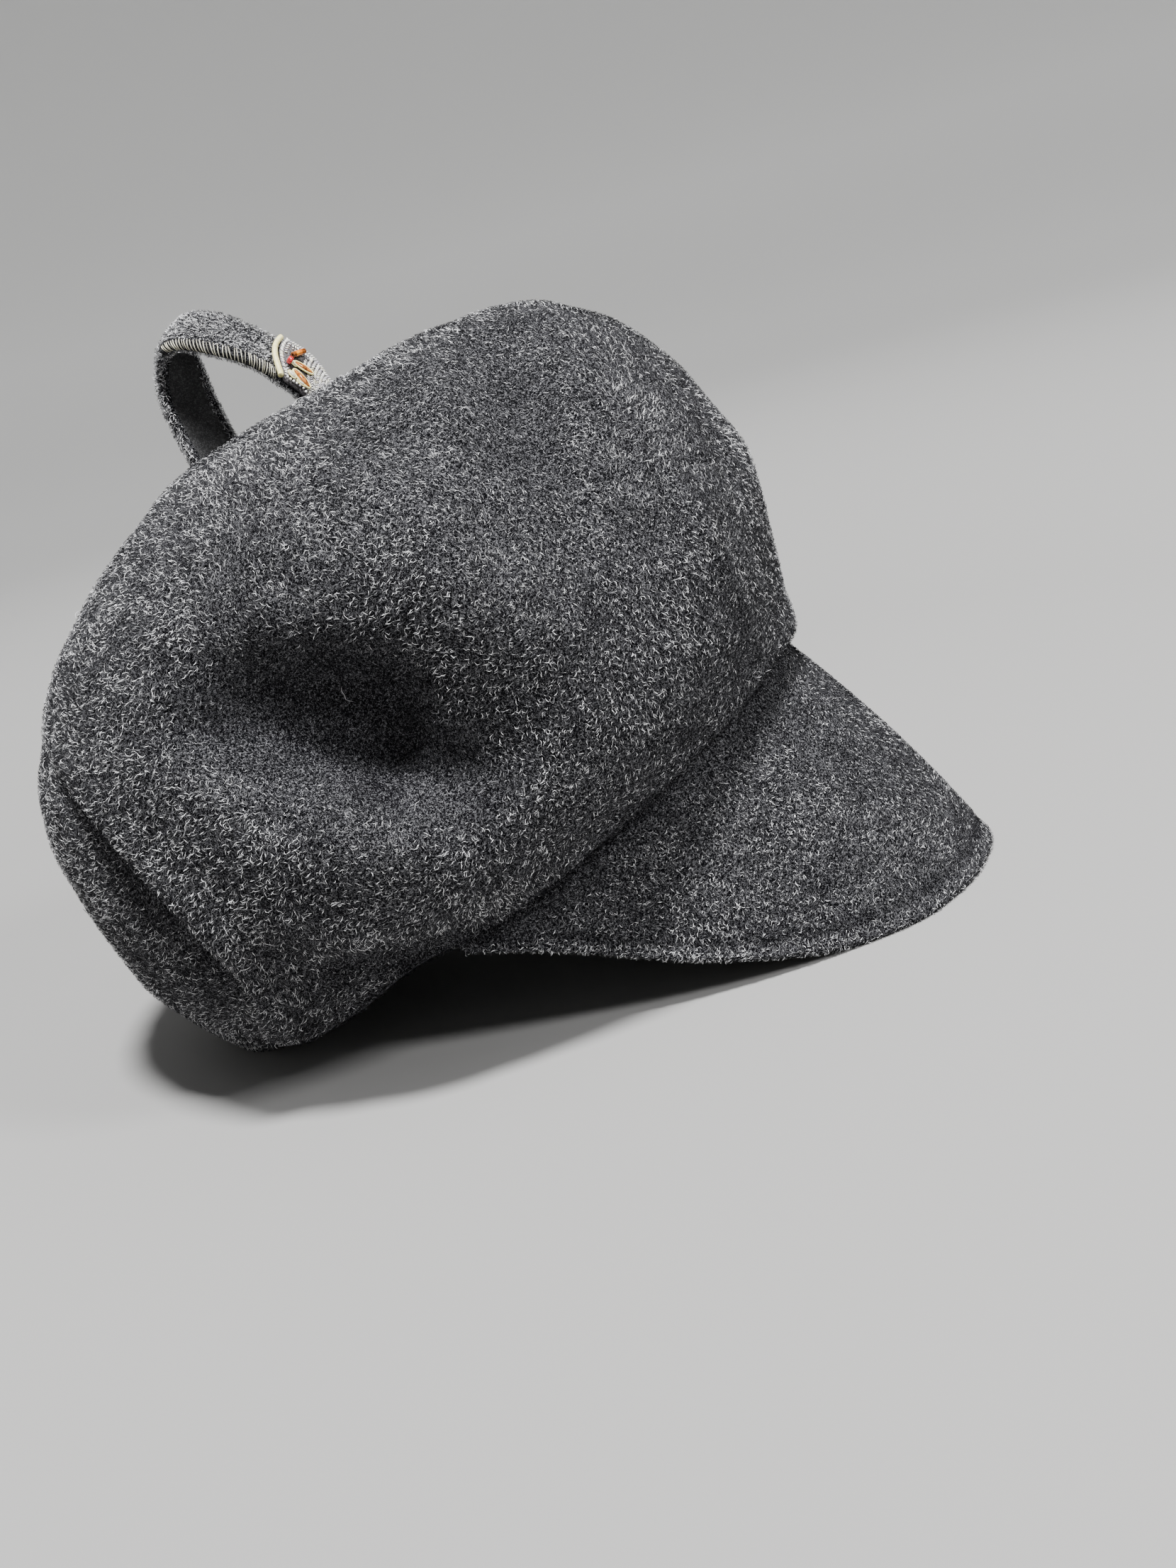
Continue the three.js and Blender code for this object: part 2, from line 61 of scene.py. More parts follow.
# The crown's felt from its top, over the bubble and round the turned rim, to the cut edge inside:
# name, rise above the rim's plane, reach to the front, back and side.
CROWN_SECTIONS = [
    ("top", 150.5, 0, 0, 0),
    ("crest", 149.2, 20, 14, 22),
    ("upper crest", 145.5, 42, 28, 42),
    ("slope", 139.5, 77, 46, 62),
    ("lower slope", 130.5, 106, 67, 80),
    ("shoulder", 117, 121.5, 87, 96),
    ("lower shoulder", 98, 132.5, 104, 107),
    ("cheek", 75, 137, 112, 113),
    ("belly", 50, 137, 115, 115),
    ("under belly", 28, 129.5, 114.5, 111),
    ("overhang", 12, 122.5, 112, 101),
    ("rim side", 5, 121, 111, 92),
    ("rim low", 0.8, 119, 109.5, 88.5),
    ("rim bottom", 0, 115, 106.5, 85.5),
    ("rim inner", 1.5, 111.5, 103.5, 82),
    ("band foot", 6, 110, 102, 80.5),
    ("band top", 26, 108.5, 100.5, 79.5),
]
SECTION_NAMES = [row[0] for row in CROWN_SECTIONS]
CROWN_RISE, CROWN_FRONT, CROWN_BACK, CROWN_SIDE = np.array([row[1:] for row in CROWN_SECTIONS], float).T
CROWN_HEIGHT = CROWN_RISE[0]
CROWN_LAST = len(CROWN_SECTIONS) - 1
BAND_FOOT = SECTION_NAMES.index("band foot")

# The folds: spread to the left and right hand of the path, power, and the path's places, each an
# azimuth in degrees, a level in section numbers and a depth.
CROWN_FOLDS = {
    "side dent": (
        26, 12, 2,
        [(106, 5.7, 1), (99, 6.15, 10), (92.5, 6.75, 17), (87, 7.3, 23), (82.5, 7.8, 25), (79, 8.2, 17)],
    ),
    "roof of the side dent": (
        12, 10, 2,
        [(97, 6.1, 1), (90, 6.3, 6), (83, 6.6, 9), (78, 7, 8), (76, 7.5, 2)],
    ),
    "ridge over the side dent": (
        15, 15, 2,
        [(66, 3.4, -1), (66, 5.2, -3), (64, 6, -6), (63, 6.8, -7), (61, 7.5, -5), (58, 8.2, -1)],
    ),
    "upper valley": (
        13, 15, 2,
        [(22, 4.2, 0.5), (32, 5, 5), (40, 5.7, 8), (44, 6.4, 6), (44, 7.4, 1)],
    ),
    "hollow behind the valley": (
        10, 10, 2,
        [(60, 3.4, 1), (55, 4.3, 3), (54, 5.2, 3), (55, 5.8, 1)],
    ),
    "front ridge": (
        4.5, 4.5, 2,
        [(30, 7.3, -1), (30.5, 8, -2.2), (29.5, 8.6, -2.5), (28.5, 9.2, -1.5), (28, 9.8, -0.5)],
    ),
    "line in front of it": (
        5, 5, 2,
        [(13, 7.2, 1), (17, 7.8, 2), (19, 8.5, 2.2), (17, 9.1, 1)],
    ),
    "right tuck": (
        4, 18, 1.6,
        [
            (152, 5, 1), (134, 5.8, 6), (127, 6.5, 9), (123.5, 7.2, 10), (121, 7.9, 9), (121.5, 8.7, 7),
            (126, 9.4, 3),
        ],
    ),
    "right tuck edge": (
        9, 6, 2,
        [
            (148, 4.9, -0.5), (128, 6, -2), (121.5, 7.1, -2.5), (118, 7.8, -3), (118, 8.5, -4),
            (122, 9.3, -4), (129, 10.6, -3),
        ],
    ),
    "hollow under the right side": (
        14, 14, 2,
        [(114, 9.1, 4), (109, 9.8, 8), (102, 10.5, 8), (92, 11, 3)],
    ),
    "left dent": (
        14, 20, 2,
        [(-104, 6.2, 1), (-90, 6.6, 9), (-80, 7.2, 13), (-72, 7.8, 4)],
    ),
    "ridge over the left dent": (
        16, 16, 2,
        [(-58, 3.4, -1), (-60, 5.6, -4), (-58, 7.2, -2)],
    ),
    "left tuck": (
        15, 5, 1.6,
        [(-160, 5.4, 1), (-138, 6.2, 5), (-128, 7.2, 6), (-124, 8.4, 4)],
    ),
    "left tuck edge": (
        6, 9, 2,
        [(-148, 5.8, -0.5), (-124, 7.4, -2), (-120, 9, -3), (-130, 10.7, -2)],
    ),
}
FOLD_STEPS = 24

# The peak's edge from the middle of the front to the temple: x, y, z, and how far the felt bows out
# on its way there
PEAK_HALF_SPAN = 95.0
PEAK_SECTIONS = [
    (0, -148.4, 0, 3.6),
    (27, -141, 0, 3.6),
    (45, -130, 0, 3),
    (58, -117, 0, 2),
    (67, -97, 0.5, 2),
    (74, -75, 5, 2),
    (80, -48, 13.5, 1),
    (83.5, -18, 25, 0.5),
    (82, 10, 31, 0),
]

# The loop's strip: the places of its near and its far edge, from the foot at the back, which is left
# in the main view, to the foot at the front
LOOP_SECTIONS = [
    ("left foot", (10, 67.5, 167), (18, 53, 172)),
    ("lower leg", (11, 71.5, 183.5), (18, 56.5, 184.5)),
    ("leg", (12, 74, 198), (19, 59, 197)),
    ("upper leg", (11, 72.5, 208), (19.5, 60, 206.5)),
    ("lower bend", (6, 67.8, 213), (19.5, 61.3, 216.6)),
    ("upper bend", (1, 62.5, 214.5), (14.5, 57.3, 221.7)),
    ("arch start", (-1, 56.5, 213), (11.5, 51.2, 221.3)),
    ("arch", (-2, 49, 209.5), (10.5, 45.5, 218.8)),
    ("middle of the arch", (-2, 41, 205), (10.5, 40.5, 215)),
    ("arch end", (-1, 36, 200.5), (11, 36, 211)),
    ("tab start", (0, 32.5, 196), (11.5, 31, 206.8)),
    ("tab", (2, 28.5, 190), (12.5, 25, 199.6)),
    ("right foot", (4, 27.5, 179), (11, 19.5, 187.5)),
]
LOOP_NEAR = np.array([near for _, near, _ in LOOP_SECTIONS], float) + SHIFT
LOOP_FAR = np.array([far for _, _, far in LOOP_SECTIONS], float) + SHIFT
LOOP_END = len(LOOP_SECTIONS) - 1

# The tab at the loop's right end, in section numbers along it and shares of its width
TAB_START = 9.95
TAB_BOW = 0.33
TAB_NEAR = -0.06
TAB_FAR = 0.96
TAB_FLOOR = STRIP_THICKNESS / 2 + PIECE_GAP


# Curves and surfaces
def along(values, t):
    """The smooth curve through a list of numbers or places, at the numbers t."""
    values = np.asarray(values, float)
    t = np.asarray(t, float)
    last = len(values) - 1
    padded = np.concatenate([[2 * values[0] - values[1]], values, [2 * values[-1] - values[-2]]])
    i = np.clip(np.floor(t).astype(int), 0, last - 1)
    f = t - i
    if values.ndim > 1:
        f = f[..., None]
    before, start, end, after = padded[i], padded[i + 1], padded[i + 2], padded[i + 3]
    slope_in = (end - before) / 2
    slope_out = (after - start) / 2
    bend = 3 * (end - start) - 2 * slope_in - slope_out
    twist = slope_in + slope_out - 2 * (end - start)
    return start + f * (slope_in + f * (bend + f * twist))


def unit(vectors):
    lengths = np.linalg.norm(vectors, axis=-1, keepdims=True)
    return vectors / np.maximum(lengths, 1e-12)


def from_rim(across, back, rise):
    """Places given across, towards the back and square to the rim's plane."""
    across, back, rise = np.broadcast_arrays(across, back, rise)
    y = back * math.cos(RIM_TILT) + rise * math.sin(RIM_TILT)
    z = rise * math.cos(RIM_TILT) - back * math.sin(RIM_TILT)
    return RIM_CENTRE + np.stack([across, y, z], -1)


def square_to(surface, azimuth, t):
    """The outward direction square to a surface given by azimuth and a number that grows downwards."""
    step = 0.02
    down = surface(azimuth, t + step) - surface(azimuth, t - step)
    turn = surface(azimuth + step, t) - surface(azimuth - step, t)
    return unit(np.cross(turn, down))


def fade(distance, width, power=2):
    """1 at a distance of 0, and falling to nothing over about a width."""
    return np.exp(-((distance / width) ** power))


def even_steps(curve, start, end, count):
    """count numbers from start to end that are evenly far apart along a curve."""
    fine = np.linspace(start, end, 40 * count)
    places = curve(fine)
    run = np.linalg.norm(np.diff(places, axis=0), axis=-1)
    run = np.concatenate([[0], np.cumsum(run)])
    return np.interp(np.linspace(0, run[-1], count), run, fine)


def waves(places, count, longest, shortest, rng):
    """A smooth uneven value, mostly within -1 and 1, from waves whose lengths lie between two sizes."""
    total = np.zeros(places.shape[:-1])
    for _ in range(count):
        heading = unit(rng.normal(size=3))
        length = longest * (shortest / longest) ** rng.random()
        total += np.sin(places @ heading * (2 * math.pi / length) + rng.random() * 2 * math.pi)
    return total / math.sqrt(count)


def smooth_crown(azimuth, t):
    """The crown's outer skin without its folds, by azimuth and section number."""
    cosine = np.cos(azimuth)
    reach = np.where(cosine > 0, along(CROWN_FRONT, t), along(CROWN_BACK, t))
    rise = along(CROWN_RISE, t)
    dip = RIM_SIDE_DIP * np.sin(azimuth) ** 2 * (1 - rise / CROWN_HEIGHT)
    return from_rim(-along(CROWN_SIDE, t) * np.sin(azimuth), -reach * cosine, rise - dip)


def out_of_crown(azimuth, t):
    """The outward direction there, taken just below the very top, which has no azimuth."""
    return square_to(smooth_crown, azimuth, np.maximum(t, 0.1))


def fold_depth(left, right, power, path, places):
    """How far one fold takes the felt in at each place."""
    numbers = np.linspace(0, len(path) - 1, FOLD_STEPS + 1)
    azimuth, level, depth = along(path, numbers).T
    azimuth = np.radians(azimuth)
    trace = smooth_crown(azimuth, level)
    outward = out_of_crown(azimuth, level)
    nearest = np.full(places.shape[:-1], np.inf)
    found = np.zeros(places.shape[:-1])
    for k in range(FOLD_STEPS):
        run = trace[k + 1] - trace[k]
        share = np.clip((places - trace[k]) @ run / (run @ run), 0, 1)
        away = places - trace[k] - share[..., None] * run
        distance = np.linalg.norm(away, axis=-1)
        hand = away @ unit(np.cross(outward[k], run)) / np.maximum(distance, 1e-9)
        spread = right + (left - right) * (0.5 + 0.5 * hand)
        here = (depth[k] + (depth[k + 1] - depth[k]) * share) * fade(distance, spread, power)
        closer = distance < nearest
        nearest = np.where(closer, distance, nearest)
        found = np.where(closer, here, found)
    return found


def crown_skin(azimuth, t, offset):
    """The crown's outer skin with its folds, offset outwards and kept above the floor."""
    azimuth, t = np.broadcast_arrays(azimuth, t)
    places = smooth_crown(azimuth, t)
    depth = sum(fold_depth(*fold, places) for fold in CROWN_FOLDS.values())
    places = places + out_of_crown(azimuth, t) * (offset - depth)[..., None]
    places[..., 2] = np.maximum(places[..., 2], -offset)
    return places


def peak_skin(azimuth, share):
    """The peak's outer skin. Share 0 is where it leaves the band, 1 its edge, and below 0 its root."""
    azimuth, share = np.broadcast_arrays(azimuth, share)
    root_levels = PEAK_ROOT_HEIGHT / (CROWN_RISE[BAND_FOOT + 1] - CROWN_RISE[BAND_FOOT])
    root = crown_skin(azimuth, BAND_FOOT - np.minimum(share, 0) * root_levels, PIECE_GAP)
    left_half = [(-x, y, z, bow) for x, y, z, bow in PEAK_SECTIONS[:0:-1]]
    t = (np.degrees(azimuth) / PEAK_HALF_SPAN + 1) * (len(PEAK_SECTIONS) - 1)
    x, y, z, bow = np.moveaxis(along(left_half + PEAK_SECTIONS, t), -1, 0)
    edge = np.stack([-x, y + SHIFT[1], np.maximum(z, 0)], -1)
    outward = np.stack([-np.sin(azimuth), -np.cos(azimuth), np.zeros_like(azimuth)], -1)
    fall = np.maximum(share, 0)
    bulge = bow * 4 * fall * (1 - fall)
    return root + (edge - root) * fall[..., None] + outward * bulge[..., None]


def strip_place(s, share, height):
    """A place on the loop at section number s, a share of its width and a height over its middle."""
    s, share, height = np.broadcast_arrays(s, share, height)
    near, far = along(LOOP_NEAR, s), along(LOOP_FAR, s)

    def middle(t):
        return (along(LOOP_NEAR, t) + along(LOOP_FAR, t)) / 2

    outward = unit(np.cross(middle(s + 0.05) - middle(s - 0.05), far - near))
    return near + (far - near) * share[..., None] + outward * height[..., None]


def strip_width(s):
    return np.linalg.norm(along(LOOP_FAR, s) - along(LOOP_NEAR, s), axis=-1)


def tab_border(share):
    """The section number where the tab's bowed border lies, at a share of the strip's width."""
    return TAB_START - TAB_BOW * np.sin(math.pi * np.clip(share, 0, 1))


# Meshes
def new_piece(name, points, faces, materials, picks=None):
    """A smooth mesh piece from arrays of places and of faces, with the number of each face's material."""
    mesh = bpy.data.meshes.new(name)
    faces = np.asarray(faces, np.int32)
    count, corners = faces.shape
    mesh.vertices.add(len(points))
    mesh.vertices.foreach_set("co", (np.asarray(points) * MM).astype(np.float32).ravel())
    mesh.loops.add(count * corners)
    mesh.loops.foreach_set("vertex_index", faces.ravel())
    mesh.polygons.add(count)
    mesh.polygons.foreach_set("loop_start", np.arange(0, count * corners, corners, dtype=np.int32))
    mesh.polygons.foreach_set("use_smooth", np.full(count, True))
    for material in materials:
        mesh.materials.append(material)
    if picks is not None:
        mesh.polygons.foreach_set("material_index", np.asarray(picks, np.int32))
    mesh.update(calc_edges=True)
    piece = bpy.data.objects.new(name, mesh)
    bpy.context.scene.collection.objects.link(piece)
    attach(piece, "root")
    return piece


def ring_faces(rings, size):
    """Triangles of a closed body over rings of places, with a pole before the first and after the last."""
    ring = np.arange(rings - 1)[:, None]
    k = np.arange(size)
    after = (k + 1) % size
    a, b = 1 + ring * size + k, 1 + ring * size + after
    c, d = b + size, a + size
    low = 1 + (rings - 1) * size
    pole = np.zeros(size, int)
    return np.concatenate(
        [
            np.stack([pole, 1 + after, 1 + k], -1),
            np.stack([a, b, c], -1).reshape(-1, 3),
            np.stack([a, c, d], -1).reshape(-1, 3),
            np.stack([low + k, low + after, pole + low + size], -1),
        ]
    )


def lofted(name, rings, materials, poles=None, picks=None):
    """A closed piece over rings of places, given as an array of rings, places and coordinates."""
    first, last = poles if poles else (rings[0].mean(0), rings[-1].mean(0))
    points = np.concatenate([[first], rings.reshape(-1, 3), [last]])
    return new_piece(name, points, ring_faces(*rings.shape[:2]), materials, picks)


def tubes(name, paths, radius, materials, up, sides=6):
    """Round strands along an array of paths, places and coordinates, joined in one piece. Up is any
    direction for each path that its places don't run along."""
    count, steps = paths.shape[:2]
    ahead = unit(np.gradient(paths, axis=1))
    across = unit(np.cross(ahead, up[:, None, :]))
    over = np.cross(across, ahead)
    angle = np.arange(sides) * 2 * math.pi / sides
    radius = np.broadcast_to(radius, (count, steps))[..., None, None]
    spokes = across[:, :, None] * np.cos(angle)[:, None] + over[:, :, None] * np.sin(angle)[:, None]
    rings = paths[:, :, None] + spokes * radius
    points = np.concatenate([paths[:, :1], rings.reshape(count, -1, 3), paths[:, -1:]], axis=1)
    shape = ring_faces(steps, sides)[:, ::-1]
    faces = shape + (np.arange(count) * points.shape[1])[:, None, None]
    return new_piece(name, points.reshape(-1, 3), faces.reshape(-1, 3), materials)


def copies(name, shape_points, shape_faces, centres, axes, materials):
    """One small shape set at many centres, each with its three axes, joined in one piece."""
    points = centres[:, None] + np.einsum("pk,nkc->npc", shape_points, axes)
    faces = shape_faces + (np.arange(len(centres)) * len(shape_points))[:, None, None]
    return new_piece(name, points.reshape(-1, 3), faces.reshape(-1, 3), materials)


def outward_normals(grid, wraps):
    """The outward directions at a grid of places whose rows go down and whose columns go round."""
    turn = np.roll(grid, -1, 1) - np.roll(grid, 1, 1) if wraps else np.gradient(grid, axis=1)
    return unit(np.cross(turn, np.gradient(grid, axis=0)))


def scattered(grid, count, rng, density=None):
    """Random cells of a grid, as many to each area, and a way to read values of the grid there."""
    side, down = grid[:-1, 1:] - grid[:-1, :-1], grid[1:, :-1] - grid[:-1, :-1]
    area = np.linalg.norm(np.cross(side, down), axis=-1)
    if density is not None:
        area = area * (density[:-1, :-1] + density[1:, 1:])
    total = np.cumsum(area.ravel())
    cell = np.searchsorted(total, rng.random(count) * total[-1])
    row, column = np.divmod(np.minimum(cell, area.size - 1), area.shape[1])
    u, v = rng.random((2, count))

    def read(values):
        f, g = (u, v) if values.ndim == 2 else (u[:, None], v[:, None])
        above = values[row, column] * (1 - f) + values[row, column + 1] * f
        below = values[row + 1, column] * (1 - f) + values[row + 1, column + 1] * f
        return above * (1 - g) + below * g

    return read


# The felt's hairs: how many go into a piece, how the way they lie swirls, in radians and millimetres,
# and where a blade has its bend and its tip, in shares of its length and lift
PILE_PIECE = 99000
FLOW_AXIS = np.array([0.35, 0.2, 1])
FLOW_WAVES = 10
FLOW_LONGEST = 70.0
FLOW_SHORTEST = 25.0
FLOW_SWING = 1.2
FLOW_SPREAD = 1.0
HAIR_ROLL = 1.1
HAIR_CURL = 0.26
HAIR_SUNK = 0.15
BEND_RUN = 0.45
BEND_RISE = 0.7
TIP_RUN = 0.95
FLOOR_CLEARANCE = 0.1
BLADE = np.array([[0, 1, 2], [1, 3, 2]])


def pile(name, grid, wraps, count, rng, length, lift, width, shade, density=None):
    """Felt hairs that lie on a grid of places. Each is a blade of two triangles, pointed at its root and
    its tip and widest at its bend. Length, lift and width are each a least and a most, and shade is how
    much lighter the tones get at each place of the grid."""
    normals = outward_normals(grid, wraps)
    if wraps:
        grid, normals, shade = (np.concatenate([v, v[:, :1]], axis=1) for v in (grid, normals, shade))
        if density is not None:
            density = np.concatenate([density, density[:, :1]], axis=1)
    read = scattered(grid, count, rng, density)
    root, outward, lighter = read(grid), unit(read(normals)), read(shade)
    first = unit(np.cross(outward, FLOW_AXIS))
    second = np.cross(outward, first)
    swirl = FLOW_SWING * waves(root, FLOW_WAVES, FLOW_LONGEST, FLOW_SHORTEST, rng)
    angle = swirl + rng.normal(0, FLOW_SPREAD, count)
    flow = first * np.cos(angle)[:, None] + second * np.sin(angle)[:, None]
    beside = np.cross(outward, flow)
    roll = rng.uniform(-HAIR_ROLL, HAIR_ROLL, count)[:, None]
    spread = beside * np.cos(roll) + outward * np.sin(roll)
    run = rng.uniform(*length, count)[:, None]
    rise = rng.uniform(*lift, count)[:, None]
    curl = rng.normal(0, HAIR_CURL, (2, count, 1))
    half = rng.uniform(*width, count)[:, None] / 2
    foot = root - outward * HAIR_SUNK
    bend = root + flow * run * BEND_RUN + outward * rise * BEND_RISE + beside * run * curl[0]
    tip = root + flow * run * TIP_RUN + outward * rise + beside * run * curl[1]
    points = np.stack([foot, bend - spread * half, bend + spread * half, tip], axis=1)
    points[..., 2] = np.maximum(points[..., 2], FLOOR_CLEARANCE)
    tone = np.searchsorted(HAIR_STEPS, rng.random(count) + lighter)
    for k, start in enumerate(range(0, count, PILE_PIECE)):
        part = points[start : start + PILE_PIECE]
        faces = BLADE + (np.arange(len(part)) * part.shape[1])[:, None, None]
        picks = np.repeat(tone[start : start + PILE_PIECE], len(BLADE))
        label = f"{name}_{k + 1}"
        piece = new_piece(label, part.reshape(-1, 3), faces.reshape(-1, 3), HAIR_TONES, picks)


# Materials
def plain_principled(name, colour, roughness, **sockets):
    material = bpy.data.materials.new(name)
    material.use_nodes = True
    shader = material.node_tree.nodes["Principled BSDF"]
    shader.inputs["Base Color"].default_value = (*colour, 1)
    shader.inputs["Roughness"].default_value = roughness
    for socket, value in sockets.items():
        shader.inputs[socket.replace("_", " ")].default_value = value
    return material


def add_node(tree, kind, inputs, **settings):
    """A shader node with its settings and its inputs, each a value or the socket it is linked to."""
    made = tree.nodes.new(kind)
    for name, value in settings.items():
        setattr(made, name, value)
    for name, value in inputs.items():
        if isinstance(value, bpy.types.NodeSocket):
            tree.links.new(value, made.inputs[name])
        else:
            made.inputs[name].default_value = value
    return made


def ramp(tree, factor, stops):
    """The colour at a factor between stops of a place and a colour."""
    made = add_node(tree, "ShaderNodeValToRGB", {"Fac": factor})
    elements = made.color_ramp.elements
    for k, (place, colour) in enumerate(stops):
        element = elements[k] if k < 2 else elements.new(place)
        element.position = place
        element.color = (*colour, 1)
    return made.outputs["Color"]


def noise(tree, size, detail, distortion=0.0):
    """Noise whose grains are about a size across."""
    coordinates = tree.nodes.get("Texture Coordinate") or tree.nodes.new("ShaderNodeTexCoord")
    inputs = {"Vector": coordinates.outputs["Object"], "Scale": 1 / (size * MM), "Detail": detail}
    return add_node(tree, "ShaderNodeTexNoise", inputs | {"Distortion": distortion}).outputs[0]


def mixed(tree, factor, first, second, blend="MIX"):
    inputs = {0: factor, 6: first, 7: second}
    return add_node(tree, "ShaderNodeMix", inputs, data_type="RGBA", blend_type=blend).outputs[2]


def grained(material, colour, height, strength, distance):
    """Sets a material's colour and its relief from sockets of its own tree."""
    tree = material.node_tree
    shader = tree.nodes["Principled BSDF"]
    tree.links.new(colour, shader.inputs["Base Color"])
    inputs = {"Height": height, "Strength": strength, "Distance": distance * MM}
    bump = add_node(tree, "ShaderNodeBump", inputs)
    tree.links.new(bump.outputs["Normal"], shader.inputs["Normal"])
    return material


def felt_material(name, dark, light, grain):
    """Matted hair: fine strokes over softer patches. The light strokes are painted sheen, hairs catching the
    light.
    """
    material = plain_principled(name, light, 0.95, Specular_IOR_Level=0.05)
    tree = material.node_tree
    strokes = noise(tree, grain, 3, 1.2)
    strokes_colour = ramp(tree, strokes, [(0.48, dark), (0.64, light)])
    patches = ramp(tree, noise(tree, 9, 2), [(0.35, (0.7, 0.7, 0.7)), (0.65, (1, 1, 1))])
    colour = mixed(tree, 1.0, strokes_colour, patches, "MULTIPLY")
    return grained(material, colour, strokes, 0.8, 0.4)


felt = felt_material("felt ground", (0.002, 0.002, 0.003), (0.16, 0.16, 0.17), 0.5)
lining = felt_material("short felt", (0.045, 0.045, 0.046), (0.1, 0.1, 0.102), 0.6)


def assorted(name, stops, roughness, grain, strength, **sockets):
    """Threads or beads of mixed colours, one colour for each, with a fine relief."""
    material = plain_principled(name, stops[0][1], roughness, **sockets)
    tree = material.node_tree
    pick = tree.nodes.new("ShaderNodeNewGeometry").outputs["Random Per Island"]
    return grained(material, ramp(tree, pick, stops), noise(tree, grain, 2), strength, 0.1)


def marbled(name, dark, light, grain, roughness, strength=0.1, **sockets):
    """Glass, cord or cloth whose colour drifts between two tones."""
    material = plain_principled(name, light, roughness, **sockets)
    tree = material.node_tree
    drift = noise(tree, grain, 3)
    return grained(material, ramp(tree, drift, [(0.38, dark), (0.62, light)]), drift, strength, 0.1)


CREAM = (0.78, 0.75, 0.6)
WHITE = (0.86, 0.85, 0.82)
LILAC = (0.5, 0.48, 0.53)
STRAW = (0.42, 0.4, 0.31)
TAUPE = (0.2, 0.19, 0.17)
pearl = assorted("pearl beads", [(0, CREAM), (0.35, WHITE), (0.7, WHITE), (0.9, LILAC)], 0.3, 0.3, 0.2)
whipping = assorted("whipping thread", [(0, STRAW), (0.6, CREAM), (1, TAUPE)], 0.8, 0.25, 0.5)
tab_cloth = marbled("tab cloth", (0.03, 0.028, 0.03), (0.16, 0.15, 0.155), 0.5, 0.8, 0.5)
# Painted shade: the dark sheet laid under the tab's flower
flower_shade_sheet = marbled("painted shade under the flower", (0.008, 0.007, 0.007), (0.04, 0.03, 0.03), 0.4, 0.8, 0.5)
piping_cord = marbled("pale yellow cord", (0.74, 0.66, 0.27), (0.88, 0.82, 0.42), 1.2, 0.45, 0.15)
red_glass = marbled("red glass", (0.4, 0.01, 0.015), (0.8, 0.03, 0.04), 0.9, 0.12, Coat_Weight=0.5)
orange_glass = marbled("orange glass", (0.62, 0.14, 0.005), (0.95, 0.36, 0.02), 1.6, 0.1, Coat_Weight=0.5)
brown_glass = marbled("brown glass", (0.1, 0.025, 0.005), (0.32, 0.09, 0.01), 0.8, 0.12, Coat_Weight=0.5)
amber_glass = marbled("amber glass", (0.16, 0.045, 0.01), (0.62, 0.22, 0.05), 0.7, 0.1, Coat_Weight=0.6)
petal_glass = marbled("pale green glass", (0.42, 0.43, 0.28), (0.74, 0.75, 0.62), 0.8, 0.15, Coat_Weight=0.4)

# The hairs' tones from dark to light, and where one gives way to the next. Black and charcoal are the felt's
# own tones; grey and silver are painted sheen and glints, hairs lit where they catch the light
HAIR_TONES = [
    plain_principled("black hair", (0.004, 0.004, 0.006), 0.8, Specular_IOR_Level=0.1),
    plain_principled("charcoal hair", (0.03, 0.03, 0.034), 0.75, Specular_IOR_Level=0.1),
    plain_principled("grey hair painted sheen", (0.2, 0.2, 0.208), 0.65, Specular_IOR_Level=0.2),
    plain_principled("silver hair painted glint", (0.72, 0.72, 0.73), 0.55, Specular_IOR_Level=0.3),
]
HAIR_STEPS = [0.33, 0.57, 0.78]

# Crown
CROWN_COLUMNS = 320
CROWN_OUTER_RINGS = 140
CROWN_INNER_RINGS = 60
CROWN_FIRST_LEVEL = 0.12
CROWN_SWELL = 0.45
SWELL_END = BAND_FOOT - 2.5
# Fold depth past which the hair is darkened, painted shade in the dents
DENT_SHADE_START = 1.5
PROFILE_AZIMUTH = np.radians(100.0)
CROWN_HAIRS = 280000
CROWN_HAIR_SIZES = (0.9, 2.1), (0.3, 1.1), (0.12, 0.23)
crown_rng = np.random.default_rng(SEED)
turns = np.linspace(0, 2 * math.pi, CROWN_COLUMNS, endpoint=False)


def crown_profile(t):
    return smooth_crown(PROFILE_AZIMUTH, t)


outer_levels = even_steps(crown_profile, CROWN_FIRST_LEVEL, CROWN_LAST, CROWN_OUTER_RINGS)
inner_levels = even_steps(crown_profile, CROWN_FIRST_LEVEL, CROWN_LAST, CROWN_INNER_RINGS)[::-1]
crown_outward = out_of_crown(turns, outer_levels[:, None])
crown_outer = crown_skin(turns, outer_levels[:, None], 0.0)
swell = CROWN_SWELL * waves(crown_outer, 12, 60, 16, crown_rng) * (outer_levels < SWELL_END)[:, None]
crown_outer = crown_outer + crown_outward * swell[..., None]
crown_outer[..., 2] = np.maximum(crown_outer[..., 2], 0)
crown_inner = crown_skin(turns, inner_levels[:, None], -CROWN_WALL)
crown_poles = (from_rim(0, 0, CROWN_HEIGHT), from_rim(0, 0, CROWN_HEIGHT - CROWN_WALL))
crown = lofted("crown_felt", np.concatenate([crown_outer, crown_inner]), [felt], crown_poles)
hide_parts("crown")

# The hair's tone drifts at random, and it is darker in the dents and where the rim turns under: painted
# shade where shade falls there
haired = crown_outer[outer_levels < BAND_FOOT]
sunk = ((smooth_crown(turns, outer_levels[:, None]) - crown_outer) * crown_outward).sum(-1)
dent_shade_depth = np.maximum(sunk[: len(haired)] - DENT_SHADE_START, 0)
crown_shade = 0.06 * waves(haired, 14, 45, 10, crown_rng) - 0.03 * dent_shade_depth
# Painted shade under the turned rim
crown_shade[outer_levels[: len(haired)] > SECTION_NAMES.index("rim low")] -= 0.3
pile("crown_pile", haired, True, CROWN_HAIRS, crown_rng, *CROWN_HAIR_SIZES, crown_shade)

